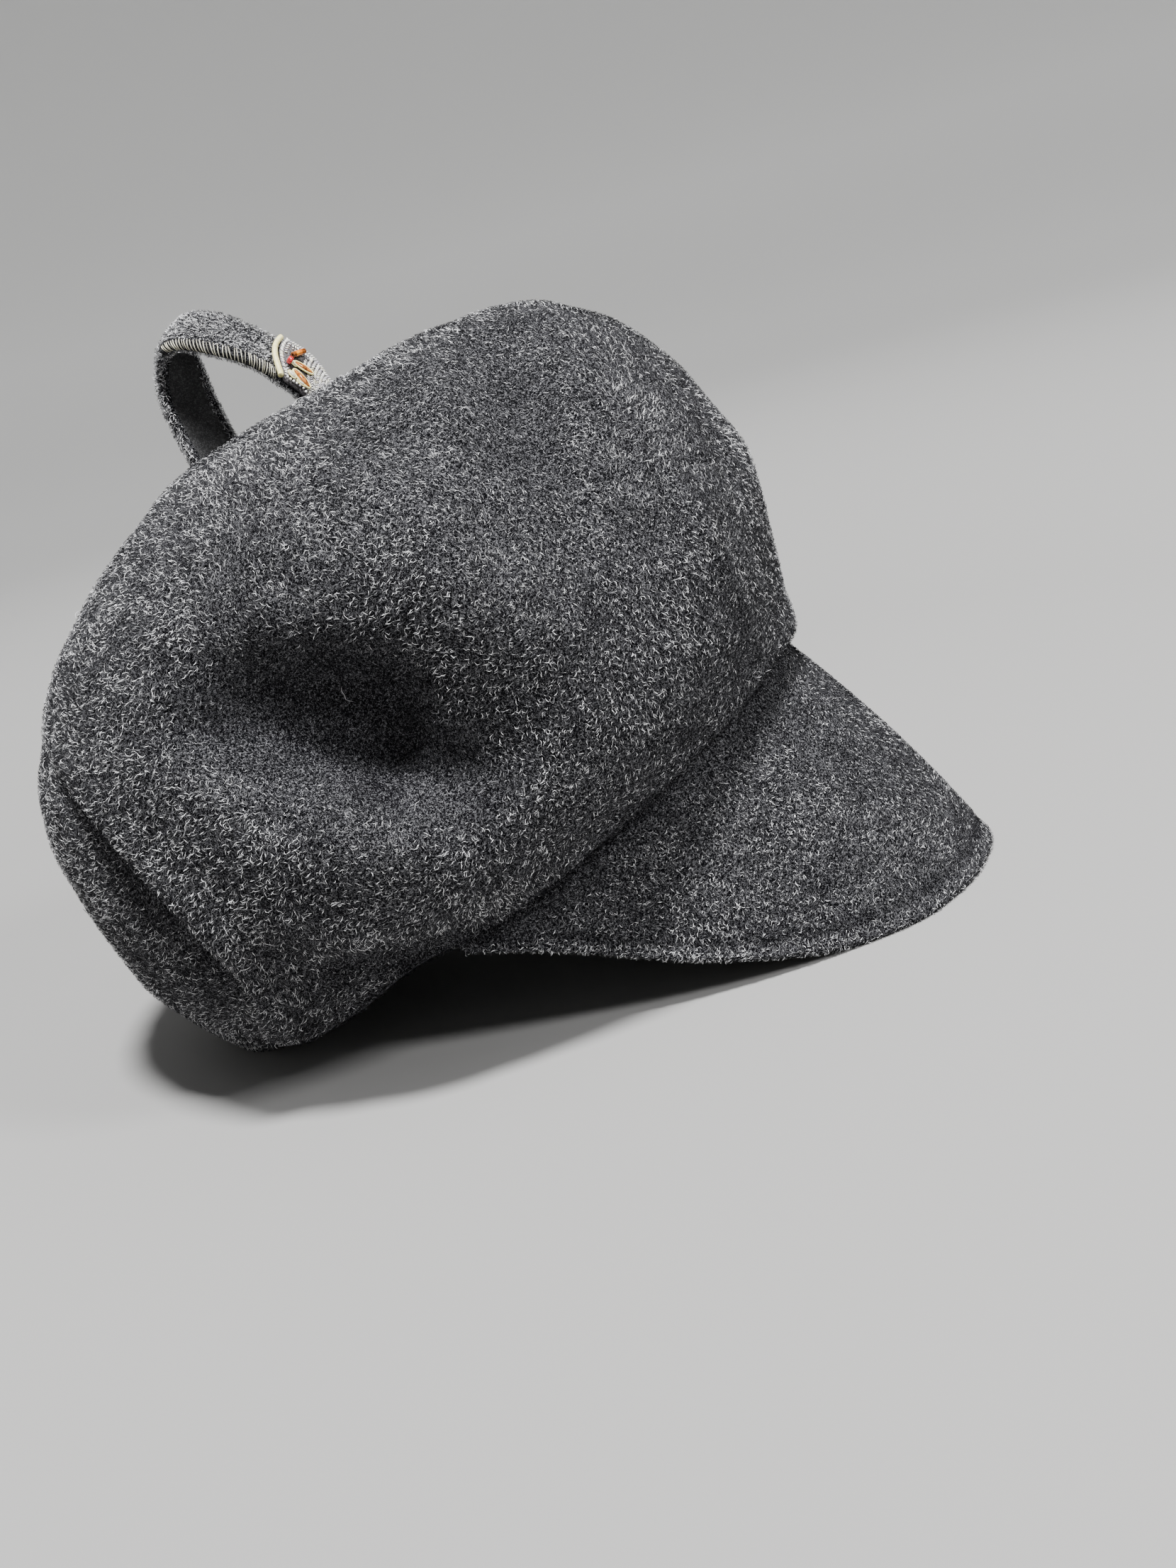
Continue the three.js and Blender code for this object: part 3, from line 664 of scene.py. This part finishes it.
# Peak
PEAK_COLUMNS = 150
PEAK_ROOT_POINTS = 5
PEAK_FALL_POINTS = 46
LIP_POINTS = 9
LIP_BAND = 4.0
LIP_GROOVE = 6.8
LIP_GROOVE_WIDTH = 1.6
LIP_RADIUS = PEAK_WALL / 2
EDGE_STEP = 0.04
FALL_POWER = 1.35
# Reach of the rim's painted shadow over the peak's root
ROOT_SHADOW = 12
PEAK_HAIRS = 75000
PEAK_HAIR_SIZES = (0.8, 1.9), (0.3, 0.9), (0.12, 0.23)


def lip_relief(from_edge):
    """How far the peak's felt stands up in a soft band along its edge, and sinks in the line above it."""
    groove = 0.35 * fade(from_edge - LIP_GROOVE, LIP_GROOVE_WIDTH)
    return 0.5 * fade(from_edge, LIP_BAND, 4) - groove


def peak_rings():
    """Sections of the peak from temple to temple, each going down the outside and up the inside."""
    span = math.radians(PEAK_HALF_SPAN)
    azimuth = np.linspace(-span, span, PEAK_COLUMNS)[:, None]
    edge = peak_skin(azimuth, 1.0)
    before = peak_skin(azimuth, 1 - EDGE_STEP)
    length = np.linalg.norm(edge - before, axis=-1) / EDGE_STEP
    end = 1 - LIP_RADIUS / length
    fall = 1 - (1 - np.linspace(0, 1, PEAK_FALL_POINTS)) ** FALL_POWER
    run = np.concatenate([np.linspace(-1, 0, PEAK_ROOT_POINTS, endpoint=False), fall])
    shares = run * np.where(run > 0, end, 1)
    outer = peak_skin(azimuth, shares)
    outward = square_to(peak_skin, azimuth, shares)
    inner = outer - outward * PEAK_WALL
    outer = outer + outward * lip_relief((1 - shares) * length)[..., None]
    down = unit(edge - before)
    middle = edge - (down + square_to(peak_skin, azimuth, end)) * LIP_RADIUS
    angle = np.linspace(0, math.pi, LIP_POINTS + 2)[1:-1, None]
    lip = middle + (outward[:, -1:] * np.cos(angle) + down * np.sin(angle)) * LIP_RADIUS
    rings = np.concatenate([outer, lip, inner[:, ::-1]], axis=1)
    rings[..., 2] = np.maximum(rings[..., 2], 0)
    return rings


rings = peak_rings()
peak = lofted("peak_felt", rings[:, ::-1], [felt])
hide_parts("peak")

# The hair is lighter on the raised band along the edge, a painted highlight, and darker in the groove above
# it, on the edge's underside and under the rim: painted shade, and the rim's painted shadow
lip_row = PEAK_ROOT_POINTS + PEAK_FALL_POINTS
haired = rings[:, : lip_row + LIP_POINTS + 5].transpose(1, 0, 2)
peak_rng = np.random.default_rng(SEED + 1)
peak_shade = -0.07 + 0.06 * waves(haired, 12, 30, 8, peak_rng)
from_edge = np.linalg.norm(haired - haired[lip_row], axis=-1)
from_band = np.linalg.norm(haired - haired[PEAK_ROOT_POINTS], axis=-1)
# Painted highlight on the raised band, painted shade in the groove above it
peak_shade += 0.2 * fade(from_edge, LIP_BAND, 4) - 0.2 * fade(from_edge - LIP_GROOVE, LIP_GROOVE_WIDTH)
# Painted shadow of the rim over the peak's root
peak_shade -= 0.5 * fade(from_band, ROOT_SHADOW)
# Painted shade on the edge's underside
peak_shade[lip_row + LIP_POINTS - 2 :] -= 0.2
pile("peak_pile", haired, False, PEAK_HAIRS, peak_rng, *PEAK_HAIR_SIZES, peak_shade)

# Loop
LOOP_RINGS = 260
LOOP_SIDE_POINTS = 9
LOOP_END_POINTS = 9
SEAT_DEPTH = 1.0
BEND_PLACE = 4.8
BEND_BULGE = 1.3
BEND_LENGTH = 1.3
LOOP_HAIRS = 16000
LOOP_HAIR_SIZES = (0.9, 1.9), (0.3, 1.2), (0.13, 0.24)

# The whipping along the near edge: its ends in section numbers, and the stitches' size and slant
WHIP_START = 4.3
WHIP_END = 9.55
WHIP_RADIUS = 0.17
WHIP_SLANT = 0.16

# The places round the strip where stitches and the tab leave no room for hair
WHIPPED_PLACES = (18, 24)
TABBED_PLACES = (8, 22)

crown_tree = BVHTree.FromPolygons(
    crown_outer.reshape(-1, 3).tolist(),
    (ring_faces(CROWN_OUTER_RINGS, CROWN_COLUMNS)[CROWN_COLUMNS:-CROWN_COLUMNS] - 1).tolist(),
)


def seated(places, depth):
    """Places that lie deeper in the crown than a depth, lifted to it."""
    flat = places.reshape(-1, 3).copy()
    for i, place in enumerate(flat):
        nearest, outward, _, _ = crown_tree.find_nearest(Vector(place))
        height = (Vector(place) - nearest).dot(outward)
        if height < -depth:
            flat[i] = nearest - outward * depth
    return flat.reshape(places.shape)


def loop_rings():
    s = np.linspace(0, LOOP_END, LOOP_RINGS)[:, None]
    radius = STRIP_THICKNESS / 2
    inset = radius / strip_width(s)
    turn = np.linspace(-math.pi / 2, math.pi / 2, LOOP_END_POINTS)
    side = np.linspace(0, 1, LOOP_SIDE_POINTS + 2)[1:-1]
    far = (1 - inset + inset * np.cos(turn), radius * np.sin(turn))
    outer = (1 - inset + (2 * inset - 1) * side, np.full(len(side), radius))
    near = (inset - inset * np.cos(turn), -radius * np.sin(turn))
    inner = (inset + (1 - 2 * inset) * side, np.full(len(side), -radius))
    share = np.concatenate([far[0], outer[0], near[0], inner[0]], axis=1)
    height = np.concatenate([far[1], outer[1], near[1], inner[1]])
    bulge = BEND_BULGE * fade(s - BEND_PLACE, BEND_LENGTH) * np.sin(math.pi * share)
    return strip_place(s, share, height + bulge)


rings = seated(loop_rings(), SEAT_DEPTH)
is_inner = np.arange(rings.shape[1]) >= rings.shape[1] - LOOP_SIDE_POINTS
side_picks = np.tile(is_inner, LOOP_RINGS - 1)
end_picks = np.zeros(rings.shape[1], bool)
picks = np.concatenate([end_picks, side_picks, side_picks, end_picks])
loop = lofted("loop_felt", rings, [felt, lining], picks=picks)
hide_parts("loop")

haired = rings[:, ~is_inner]
loop_rng = np.random.default_rng(SEED + 2)
# The loop's hair takes lighter tones overall, more of the grey and silver painted sheen
loop_shade = 0.22 + 0.08 * waves(haired, 12, 20, 5, loop_rng)
numbers = np.linspace(0, LOOP_END, LOOP_RINGS)
growth = np.ones(haired.shape[:2])
whipped = (numbers > WHIP_START) & (numbers < WHIP_END)
growth[np.ix_(whipped, np.arange(*WHIPPED_PLACES))] = 0
growth[np.ix_(numbers > TAB_START - TAB_BOW, np.arange(*TABBED_PLACES))] = 0
pile("loop_pile", haired, False, LOOP_HAIRS, loop_rng, *LOOP_HAIR_SIZES, loop_shade, growth)


def near_edge(s, angle, lift):
    """A place round the strip's near edge, which turns onto the outer side at 90 degrees and onto the
    inner side at -90."""
    radius = STRIP_THICKNESS / 2
    inset = radius / strip_width(s)
    over = np.maximum(angle - math.pi / 2, 0)
    turned = np.minimum(angle, math.pi / 2)
    share = inset * (1 - (1 + lift / radius) * np.cos(turned) + over)
    return strip_place(s, share, (radius + lift) * np.sin(turned))


def whip_stitches(name, start, end, count, angles, material, rng):
    """Slanted stitches over the strip's near edge."""
    s = np.linspace(start, end, count)[:, None] + rng.normal(0, 0.012, (count, 1))
    run = np.linspace(0, 1, 6)
    first = angles[0] + rng.normal(0, 0.1, (count, 1))
    last = angles[1] + rng.normal(0, 0.12, (count, 1))
    slant = WHIP_SLANT + rng.normal(0, 0.05, (count, 1))
    lift = 0.05 + 0.2 * np.sin(math.pi * run)
    paths = near_edge(s + slant * (run - 0.5), first + (last - first) * run, lift)
    radius = WHIP_RADIUS * (0.6 + 0.4 * np.sin(math.pi * run))
    tangent = strip_place(s[:, 0] + 0.05, 0.0, 0.0) - strip_place(s[:, 0] - 0.05, 0.0, 0.0)
    stitches = tubes(name, paths, radius, [material], unit(tangent))


whip_stitches("whip_stitches", WHIP_START + 0.25, WHIP_END, 40, (1.7, -0.4), whipping, loop_rng)
whip_stitches("whip_stitches_bend", WHIP_START, WHIP_START + 0.35, 5, (1.2, -0.9), lining, loop_rng)

# Three loose stitches across the strip's inner side: section number and share of its width
LOOSE_ENDS = [[(4.32, 0.16), (4.36, 0.24)], [(4.3, 0.3), (4.36, 0.37)], [(4.32, 0.58), (4.37, 0.66)]]
LOOSE_RADIUS = 0.16
ends = np.array(LOOSE_ENDS)
loose = strip_place(ends[..., 0], ends[..., 1], -STRIP_THICKNESS / 2 - 0.15)
loose = loose[:, :1] + (loose[:, 1:] - loose[:, :1]) * np.linspace(0, 1, 5)[:, None]
upright = np.array([[0.2, 0.1, 1.0]] * len(LOOSE_ENDS))
tubes("loose_stitches", loose, LOOSE_RADIUS, [whipping], upright)

# Tab
TAB_ROWS = 70
TAB_COLUMNS = 40
TAB_SINK = 0.25
TAB_TOP = TAB_FLOOR + TAB_THICKNESS


def tab_place(inward, share, height):
    """A place on the tab by its distance inward from the border, a share of the width and a height."""
    inward, share, height = (v.ravel() for v in np.broadcast_arrays(inward, share, height))
    numbers = np.empty(len(share))
    for k, (distance, place) in enumerate(zip(inward, share)):
        fine = np.linspace(tab_border(place) - 0.5, LOOP_END, 80)
        run = np.linalg.norm(np.diff(strip_place(fine, place, 0.0), axis=0), axis=-1)
        run = np.concatenate([[0], np.cumsum(run)])
        run -= np.interp(tab_border(place), fine, run)
        numbers[k] = np.interp(distance, run, fine)
    return strip_place(numbers, share, height)


def above_crown(places, height):
    """Which places lie higher over the crown's skin than a height."""
    found = [crown_tree.find_nearest(Vector(place))[:2] for place in places]
    return np.array([(Vector(p) - near).dot(out) > height for p, (near, out) in zip(places, found)])


run = np.linspace(0, 1, TAB_ROWS)[:, None]
share = np.linspace(TAB_FAR, TAB_NEAR, TAB_COLUMNS)
start = tab_border(share)
numbers = start + (LOOP_END - start) * run
middle = 1 - np.abs(np.linspace(-1, 1, TAB_COLUMNS)) ** 6
top = strip_place(numbers, share, TAB_FLOOR + TAB_THICKNESS * (0.3 + 0.65 * middle))
bottom = strip_place(numbers, share, TAB_FLOOR - TAB_SINK)
tab_rings = seated(np.concatenate([top, bottom[:, ::-1]], axis=1), 0.3)
tab = lofted("tab_cloth", tab_rings, [tab_cloth])
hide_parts("bead_tab")

share = np.linspace(TAB_NEAR, TAB_FAR, 60)
cord_height = TAB_FLOOR + PIPING_RADIUS
cord = tab_place(-(PIPING_RADIUS + PIECE_GAP), share, cord_height)
up = tab_place(0.0, 0.5, TAB_TOP) - tab_place(0.0, 0.5, 0.0)
piping = tubes("tab_piping_cord", cord[None], PIPING_RADIUS, [piping_cord], unit(up), sides=20)
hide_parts("tab_piping")


def ball(segments, rings):
    """A round shape of radius 1: its places and triangles."""
    polar = np.linspace(0, math.pi, rings + 2)[1:-1, None]
    turn = -np.arange(segments) * 2 * math.pi / segments
    across = np.sin(polar)
    grid = np.stack([across * np.cos(turn), across * np.sin(turn), np.cos(polar) + 0 * turn], -1)
    return np.concatenate([[[0, 0, 1]], grid.reshape(-1, 3), [[0, 0, -1]]]), ring_faces(rings, segments)


# Rows of beads on the tab: from and to, each a distance inward and a share of the width, then the
# pitch, a bead's length and width, and its slant off the row's square in degrees.
BEAD_ROWS = [
    ((0.75, 0.93), (0.75, 0.03), 0.62, 1.25, 0.52, 28),
    ((0.9, -0.02), (21, -0.02), 0.86, 0.88, 0.84, 0),
    ((1.2, 0.93), (21, 0.93), 0.7, 1.15, 0.5, 30),
    ((2, 0.84), (2, 0.58), 0.66, 1.2, 0.5, -28),
    ((2, 0.26), (2, 0.08), 0.66, 1.2, 0.5, -28),
    ((3.3, 0.85), (9, 0.85), 0.68, 1.2, 0.48, -35),
    ((3.6, 0.77), (8.6, 0.77), 0.68, 1.0, 0.42, 35),
    ((4, 0.06), (9, 0.06), 0.68, 1.1, 0.46, 25),
    ((8.2, 0.7), (8.2, 0.52), 0.66, 1.2, 0.48, 35),
]
FIELD_FIRST = 9.6
FIELD_PITCH = 1.28
FIELD_ROWS = 9


def field_row(k):
    """A row across the tab's lower field, whose beads slant the other way from the row before."""
    inward = FIELD_FIRST + k * FIELD_PITCH
    return (inward, 0.87), (inward, 0.05), 0.68, 1.4, 0.5, 35 - 70 * (k % 2)


def bead_frames(start, end, pitch, length, width, slant):
    """The centres and the three half axes of a row's beads."""
    start, end = np.array(start), np.array(end)
    reach = tab_place(*np.stack([start, end], -1), 0.0)
    count = max(int(np.linalg.norm(reach[1] - reach[0]) / pitch), 2)
    where = start + (end - start) * np.linspace(0, 1, count)[:, None]
    step = (end - start) * 0.01
    place = tab_place(*where.T, TAB_TOP + 0.05)
    ahead = unit(tab_place(*(where + step).T, TAB_TOP) - tab_place(*(where - step).T, TAB_TOP))
    up = unit(tab_place(*where.T, TAB_TOP) - tab_place(*where.T, 0.0))
    side = np.cross(up, ahead)
    lean = np.radians(slant)
    long = side * math.cos(lean) + ahead * math.sin(lean)
    axes = np.stack([long * length / 2, np.cross(up, long) * width / 2, up * width / 2], axis=1)
    return place, axes


bead_rows = BEAD_ROWS + [field_row(k) for k in range(FIELD_ROWS)]
placed = [bead_frames(*row) for row in bead_rows]
centres = np.concatenate([centre for centre, _ in placed])
axes = np.concatenate([axis for _, axis in placed])
tab_rng = np.random.default_rng(SEED + 3)
centres += tab_rng.normal(0, 0.05, centres.shape)
axes *= 1 + tab_rng.normal(0, 0.07, (len(axes), 1, 1))
seen = above_crown(centres, 0.2)
seed_beads = copies("tab_seed_beads", *ball(8, 4), centres[seen], axes[seen], [pearl])

# The tab's flower: two leaves and three petals with corded rims, a red bead and an orange bugle
RIM_OPENING = 0.04
RING_SIDES = 28
BUGLE_RADIUS = 0.9
RED_RADIUS = 1.2
PATCH_POINTS = 14


def flower_frame(start, end, height):
    """The middle of a piece between two places, half its length, and the directions along it, across it
    and out of the tab."""
    first, last = strip_place(*start, height), strip_place(*end, height)
    middle = (first + last) / 2
    ahead = unit(last - first)
    number, share = (np.array(start) + np.array(end)) / 2
    up = strip_place(number, share, 1.0) - strip_place(number, share, 0.0)
    side = unit(np.cross(up, ahead))
    return middle, np.linalg.norm(last - first) / 2, ahead, side, np.cross(ahead, side)


def leaf(name, start, end, half_width, height, materials, rim):
    """A pointed glass stone with a raised middle and a corded rim."""
    middle, half, ahead, side, up = flower_frame(start, end, height)
    run = np.linspace(0.02, 0.98, 24)[:, None]
    reach = np.sin(math.pi * run) ** 0.8
    turn = np.linspace(0, 2 * math.pi, 16, endpoint=False)
    along_leaf = ((run * 2 - 1) * half)[..., None] * ahead
    across = (reach * np.cos(turn) * half_width * 0.8)[..., None] * side
    rise = np.sign(np.sin(turn)) * np.abs(np.sin(turn)) ** 0.7
    out = (reach * rise * half_width * 0.6)[..., None] * up
    stone = lofted(name, middle + along_leaf + across + out, materials)
    turn = np.linspace(RIM_OPENING, 2 * math.pi - RIM_OPENING, 41)
    outline = middle + np.cos(turn)[:, None] * half * ahead
    width = np.abs(np.sin(turn)) ** 0.8 * np.sign(np.sin(turn)) * half_width
    outline = outline + width[:, None] * side - up * half_width * 0.15
    border = tubes(name + "_rim", outline[None], rim, [piping_cord], up[None], sides=8)
    return stone


def ringed(name, profile, middle, axis, side, up, materials, picks=None):
    """A bead with a hole: a closed profile of places along and away from its axis, turned round it."""
    turn = np.arange(RING_SIDES) * 2 * math.pi / RING_SIDES
    spokes = side * np.cos(turn)[:, None] + up * np.sin(turn)[:, None]
    profile = np.asarray(profile, float)
    points = middle + profile[:, None, :1] * axis + profile[:, None, 1:] * spokes
    i, k = np.meshgrid(np.arange(len(profile)), np.arange(RING_SIDES), indexing="ij")
    ring, next_ring = i * RING_SIDES, (i + 1) % len(profile) * RING_SIDES
    beyond = (k + 1) % RING_SIDES
    faces = np.stack([ring + k, next_ring + k, next_ring + beyond, ring + beyond], -1)
    picks = None if picks is None else np.repeat(picks, RING_SIDES)
    return new_piece(name, points.reshape(-1, 3), faces.reshape(-1, 4), materials, picks)


def rounded_profile(half, inner, outer, corner, steps=5):
    """A tube wall's section: half its length, its radii and its rounded corners."""
    turn = np.linspace(0, math.pi / 2, steps)
    middles = [(half, outer, 0), (-half, outer, 1), (-half, inner, 2), (half, inner, 3)]
    places = []
    for x, y, quarter in middles:
        x -= math.copysign(corner, x)
        y += corner if y == inner else -corner
        angle = turn + quarter * math.pi / 2
        places += list(zip(x + corner * np.cos(angle), y + corner * np.sin(angle)))
    return places


def height_over_tab(radius):
    return TAB_TOP + PIECE_GAP + radius


LEAVES = {
    "amber_leaf_upper": ((10.3, 0.42), (11, 0.5), 1.0),
    "amber_leaf_lower": ((10.3, 0.21), (11, 0.1), 1.2),
}
for name, (start, end, radius) in LEAVES.items():
    stone = leaf(name + "_stone", start, end, radius, height_over_tab(radius * 0.6), [amber_glass], 0.3)
    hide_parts(name)
PETALS = {
    "petal_by_the_bead": ((10.16, 0.42), (10.42, 0.36), 0.62),
    "petal_low": ((10.1, 0.13), (10.42, 0.04), 0.8),
    "petal_by_the_edge": ((10.5, 0.02), (10.85, 0.05), 0.62),
}
for name, (start, end, radius) in PETALS.items():
    petal = leaf(name, start, end, radius, height_over_tab(radius * 0.5), [petal_glass], 0.2)

middle, half, *directions = flower_frame((9.94, 0.34), (10.2, 0.34), height_over_tab(RED_RADIUS))
profile = rounded_profile(half * 0.85, 0.3, RED_RADIUS, 0.42)
red_bead = ringed("red_seed_bead", profile, middle, *directions, [red_glass])
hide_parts("red_bead")

# The bugle's ends are brown, so its wall is cut where the colour changes
middle, half, *directions = flower_frame((10.18, 0.53), (10.6, 0.83), height_over_tab(BUGLE_RADIUS))
profile = np.array(rounded_profile(half, 0.35, BUGLE_RADIUS, 0.18))
cuts = np.array([(x, BUGLE_RADIUS) for x in np.linspace(half * 0.75, -half * 0.75, 9)])
profile = np.concatenate([profile[:5], cuts, profile[5:]])
is_brown = np.abs(profile[:, 0]) > half * 0.5
bugle = ringed("orange_bugle_bead", profile, middle, *directions, [orange_glass, brown_glass], is_brown)
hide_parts("orange_bugle")

# A dark sheet under the flower, painted shade beneath and between its leaves and petals
patch_rows = np.linspace(3.2, 8.6, PATCH_POINTS)
patch_columns = np.linspace(0.6, 0.1, PATCH_POINTS)
inward, share = np.meshgrid(patch_rows, patch_columns, indexing="ij")
patch_top = tab_place(inward, share, TAB_TOP + 0.12).reshape(*inward.shape, 3)
patch_bottom = tab_place(inward, share, TAB_TOP - 0.2).reshape(*inward.shape, 3)
patch = lofted("flower_painted_shade", np.concatenate([patch_top, patch_bottom[:, ::-1]], axis=1), [flower_shade_sheet])

# Long stray hairs on the felt, in the silver tone, a painted glint
CURLS = 70
CURL_POINTS = 9
CURL_RADIUS = 0.06


def curls(name, grid, wraps, count, rng):
    """Thin curved strands that rise from a grid of places and come back to it."""
    normals = outward_normals(grid, wraps)
    read = scattered(grid, count, rng)
    root, outward = read(grid)[:, None], unit(read(normals))[:, None]
    heading = unit(np.cross(outward, unit(rng.normal(size=(count, 1, 3)))))
    beside = np.cross(outward, heading)
    run = np.linspace(0, 1, CURL_POINTS)[:, None]
    length = rng.uniform(2.5, 7, (count, 1, 1))
    bow = rng.normal(0, 0.9, (count, 1, 1)) * np.sin(math.pi * run)
    bow = bow + rng.normal(0, 0.35, (count, 1, 1)) * np.sin(3 * math.pi * run)
    rise = 0.5 + rng.uniform(0.4, 1.6, (count, 1, 1)) * np.sin(math.pi * run)
    paths = root + heading * length * run + beside * bow + outward * rise
    radius = CURL_RADIUS * np.sin(math.pi * np.linspace(0.12, 0.88, CURL_POINTS))
    paths[..., 2] = np.maximum(paths[..., 2], FLOOR_CLEARANCE)
    tubes(name, paths, radius, [HAIR_TONES[-1]], outward[:, 0], sides=4)


curled = crown_outer[(outer_levels > 1) & (outer_levels < 10.5)]
curls("crown_curls", curled, True, CURLS, crown_rng)

# Camera. The hat leans in the photograph and stands level here, so the camera leans instead.
PHOTO_TIP = 15.0
PHOTO_PITCH = 16.5
PHOTO_TURN = 2.6
PHOTO_VIEW_ANGLE = 50.0
CAMERA_PLACE = (-524.58, -85.38, 193.05)


def photo_camera():
    pitch, turn = math.radians(PHOTO_PITCH), math.radians(PHOTO_TURN)
    tip = Matrix.Rotation(math.radians(PHOTO_TIP), 3, "X")
    level, drop = math.cos(pitch), math.sin(pitch)
    ahead = tip @ Vector((level * math.cos(turn), level * math.sin(turn), -drop))
    up = tip @ Vector((drop * math.cos(turn), drop * math.sin(turn), level))
    right = ahead.cross(up)
    data = bpy.data.cameras.new("camera")
    data.sensor_fit = "VERTICAL"
    data.angle = math.radians(PHOTO_VIEW_ANGLE)
    data.clip_end = 100
    camera = bpy.data.objects.new("camera", data)
    bpy.context.scene.collection.objects.link(camera)
    turned = Matrix((right, up, -ahead)).transposed().to_4x4()
    camera.matrix_world = Matrix.Translation(Vector(CAMERA_PLACE) * MM) @ turned
    bpy.context.scene.camera = camera


photo_camera()

# Stage: a pale bowl, flat where the hat stands and rising to a wall far from it, given by its reach
# and rise
BOWL_PROFILE = [
    (0, 0), (1400, 0), (2200, 0), (3400, 60), (4800, 420), (6000, 1200), (6800, 2400), (7000, 3800),
    (7000, 5600),
]
BOWL_COLUMNS = 96
BOWL_ROWS = 64


def bowl():
    reach, rise = along(BOWL_PROFILE, np.linspace(0, len(BOWL_PROFILE) - 1, BOWL_ROWS))[1:].T
    turn = np.linspace(0, 2 * math.pi, BOWL_COLUMNS, endpoint=False)[:, None]
    grid = np.stack([reach * np.cos(turn), reach * np.sin(turn), np.maximum(rise, 0) + 0 * turn], -1)
    points = np.concatenate([[[0, 0, 0]], grid.transpose(1, 0, 2).reshape(-1, 3)])
    faces = ring_faces(len(reach), BOWL_COLUMNS)[:-BOWL_COLUMNS, ::-1]
    ground = plain_principled("pale ground", (0.3, 0.3, 0.295), 0.9)
    tree = ground.node_tree
    grain = noise(tree, 1.5, 2)
    places = tree.nodes["Texture Coordinate"].outputs["Object"]
    away = add_node(tree, "ShaderNodeVectorMath", {0: places}, operation="LENGTH").outputs["Value"]
    inputs = {0: away, 1: 1 / (BOWL_PROFILE[-1][0] * MM)}
    share = add_node(tree, "ShaderNodeMath", inputs, operation="MULTIPLY").outputs[0]
    # Painted light: the ground grows paler with distance, making up for the lamps' light falling off from
    # the floor under the hat to the far wall
    colour = ramp(tree, share, [(0.06, (0.29, 0.287, 0.283)), (0.7, (0.85, 0.85, 0.84))])
    grained(ground, colour, grain, 0.1, 0.2)
    mesh = bpy.data.meshes.new("ground")
    mesh.from_pydata((points * MM).tolist(), [], faces.tolist())
    mesh.polygons.foreach_set("use_smooth", np.full(len(faces), True))
    mesh.materials.append(ground)
    stage = bpy.data.objects.new("ground", mesh)
    bpy.context.scene.collection.objects.link(stage)


bowl()


def area_light(name, place, target, size, power):
    data = bpy.data.lights.new(name, "AREA")
    data.shape = "DISK"
    data.size = size
    data.energy = power
    light = bpy.data.objects.new(name, data)
    bpy.context.scene.collection.objects.link(light)
    light.location = place
    light.rotation_euler = (Vector(target) - Vector(place)).to_track_quat("-Z", "Y").to_euler()


# Places, targets and sizes in metres, power in watts
area_light("key", (-0.75, -0.15, 3.1), (0, 0, 0.1), 0.5, 270)
area_light("fill", (-0.85, -1.3, 1.2), (0, 0, 0.1), 0.4, 29)
area_light("dome", (0, 0, 4.5), (0, 0, 0), 6, 50)

world = bpy.data.worlds.new("studio")
bpy.context.scene.world = world
world.use_nodes = True
world.node_tree.nodes["Background"].inputs["Color"].default_value = (0.86, 0.87, 0.9, 1)
world.node_tree.nodes["Background"].inputs["Strength"].default_value = 0.1
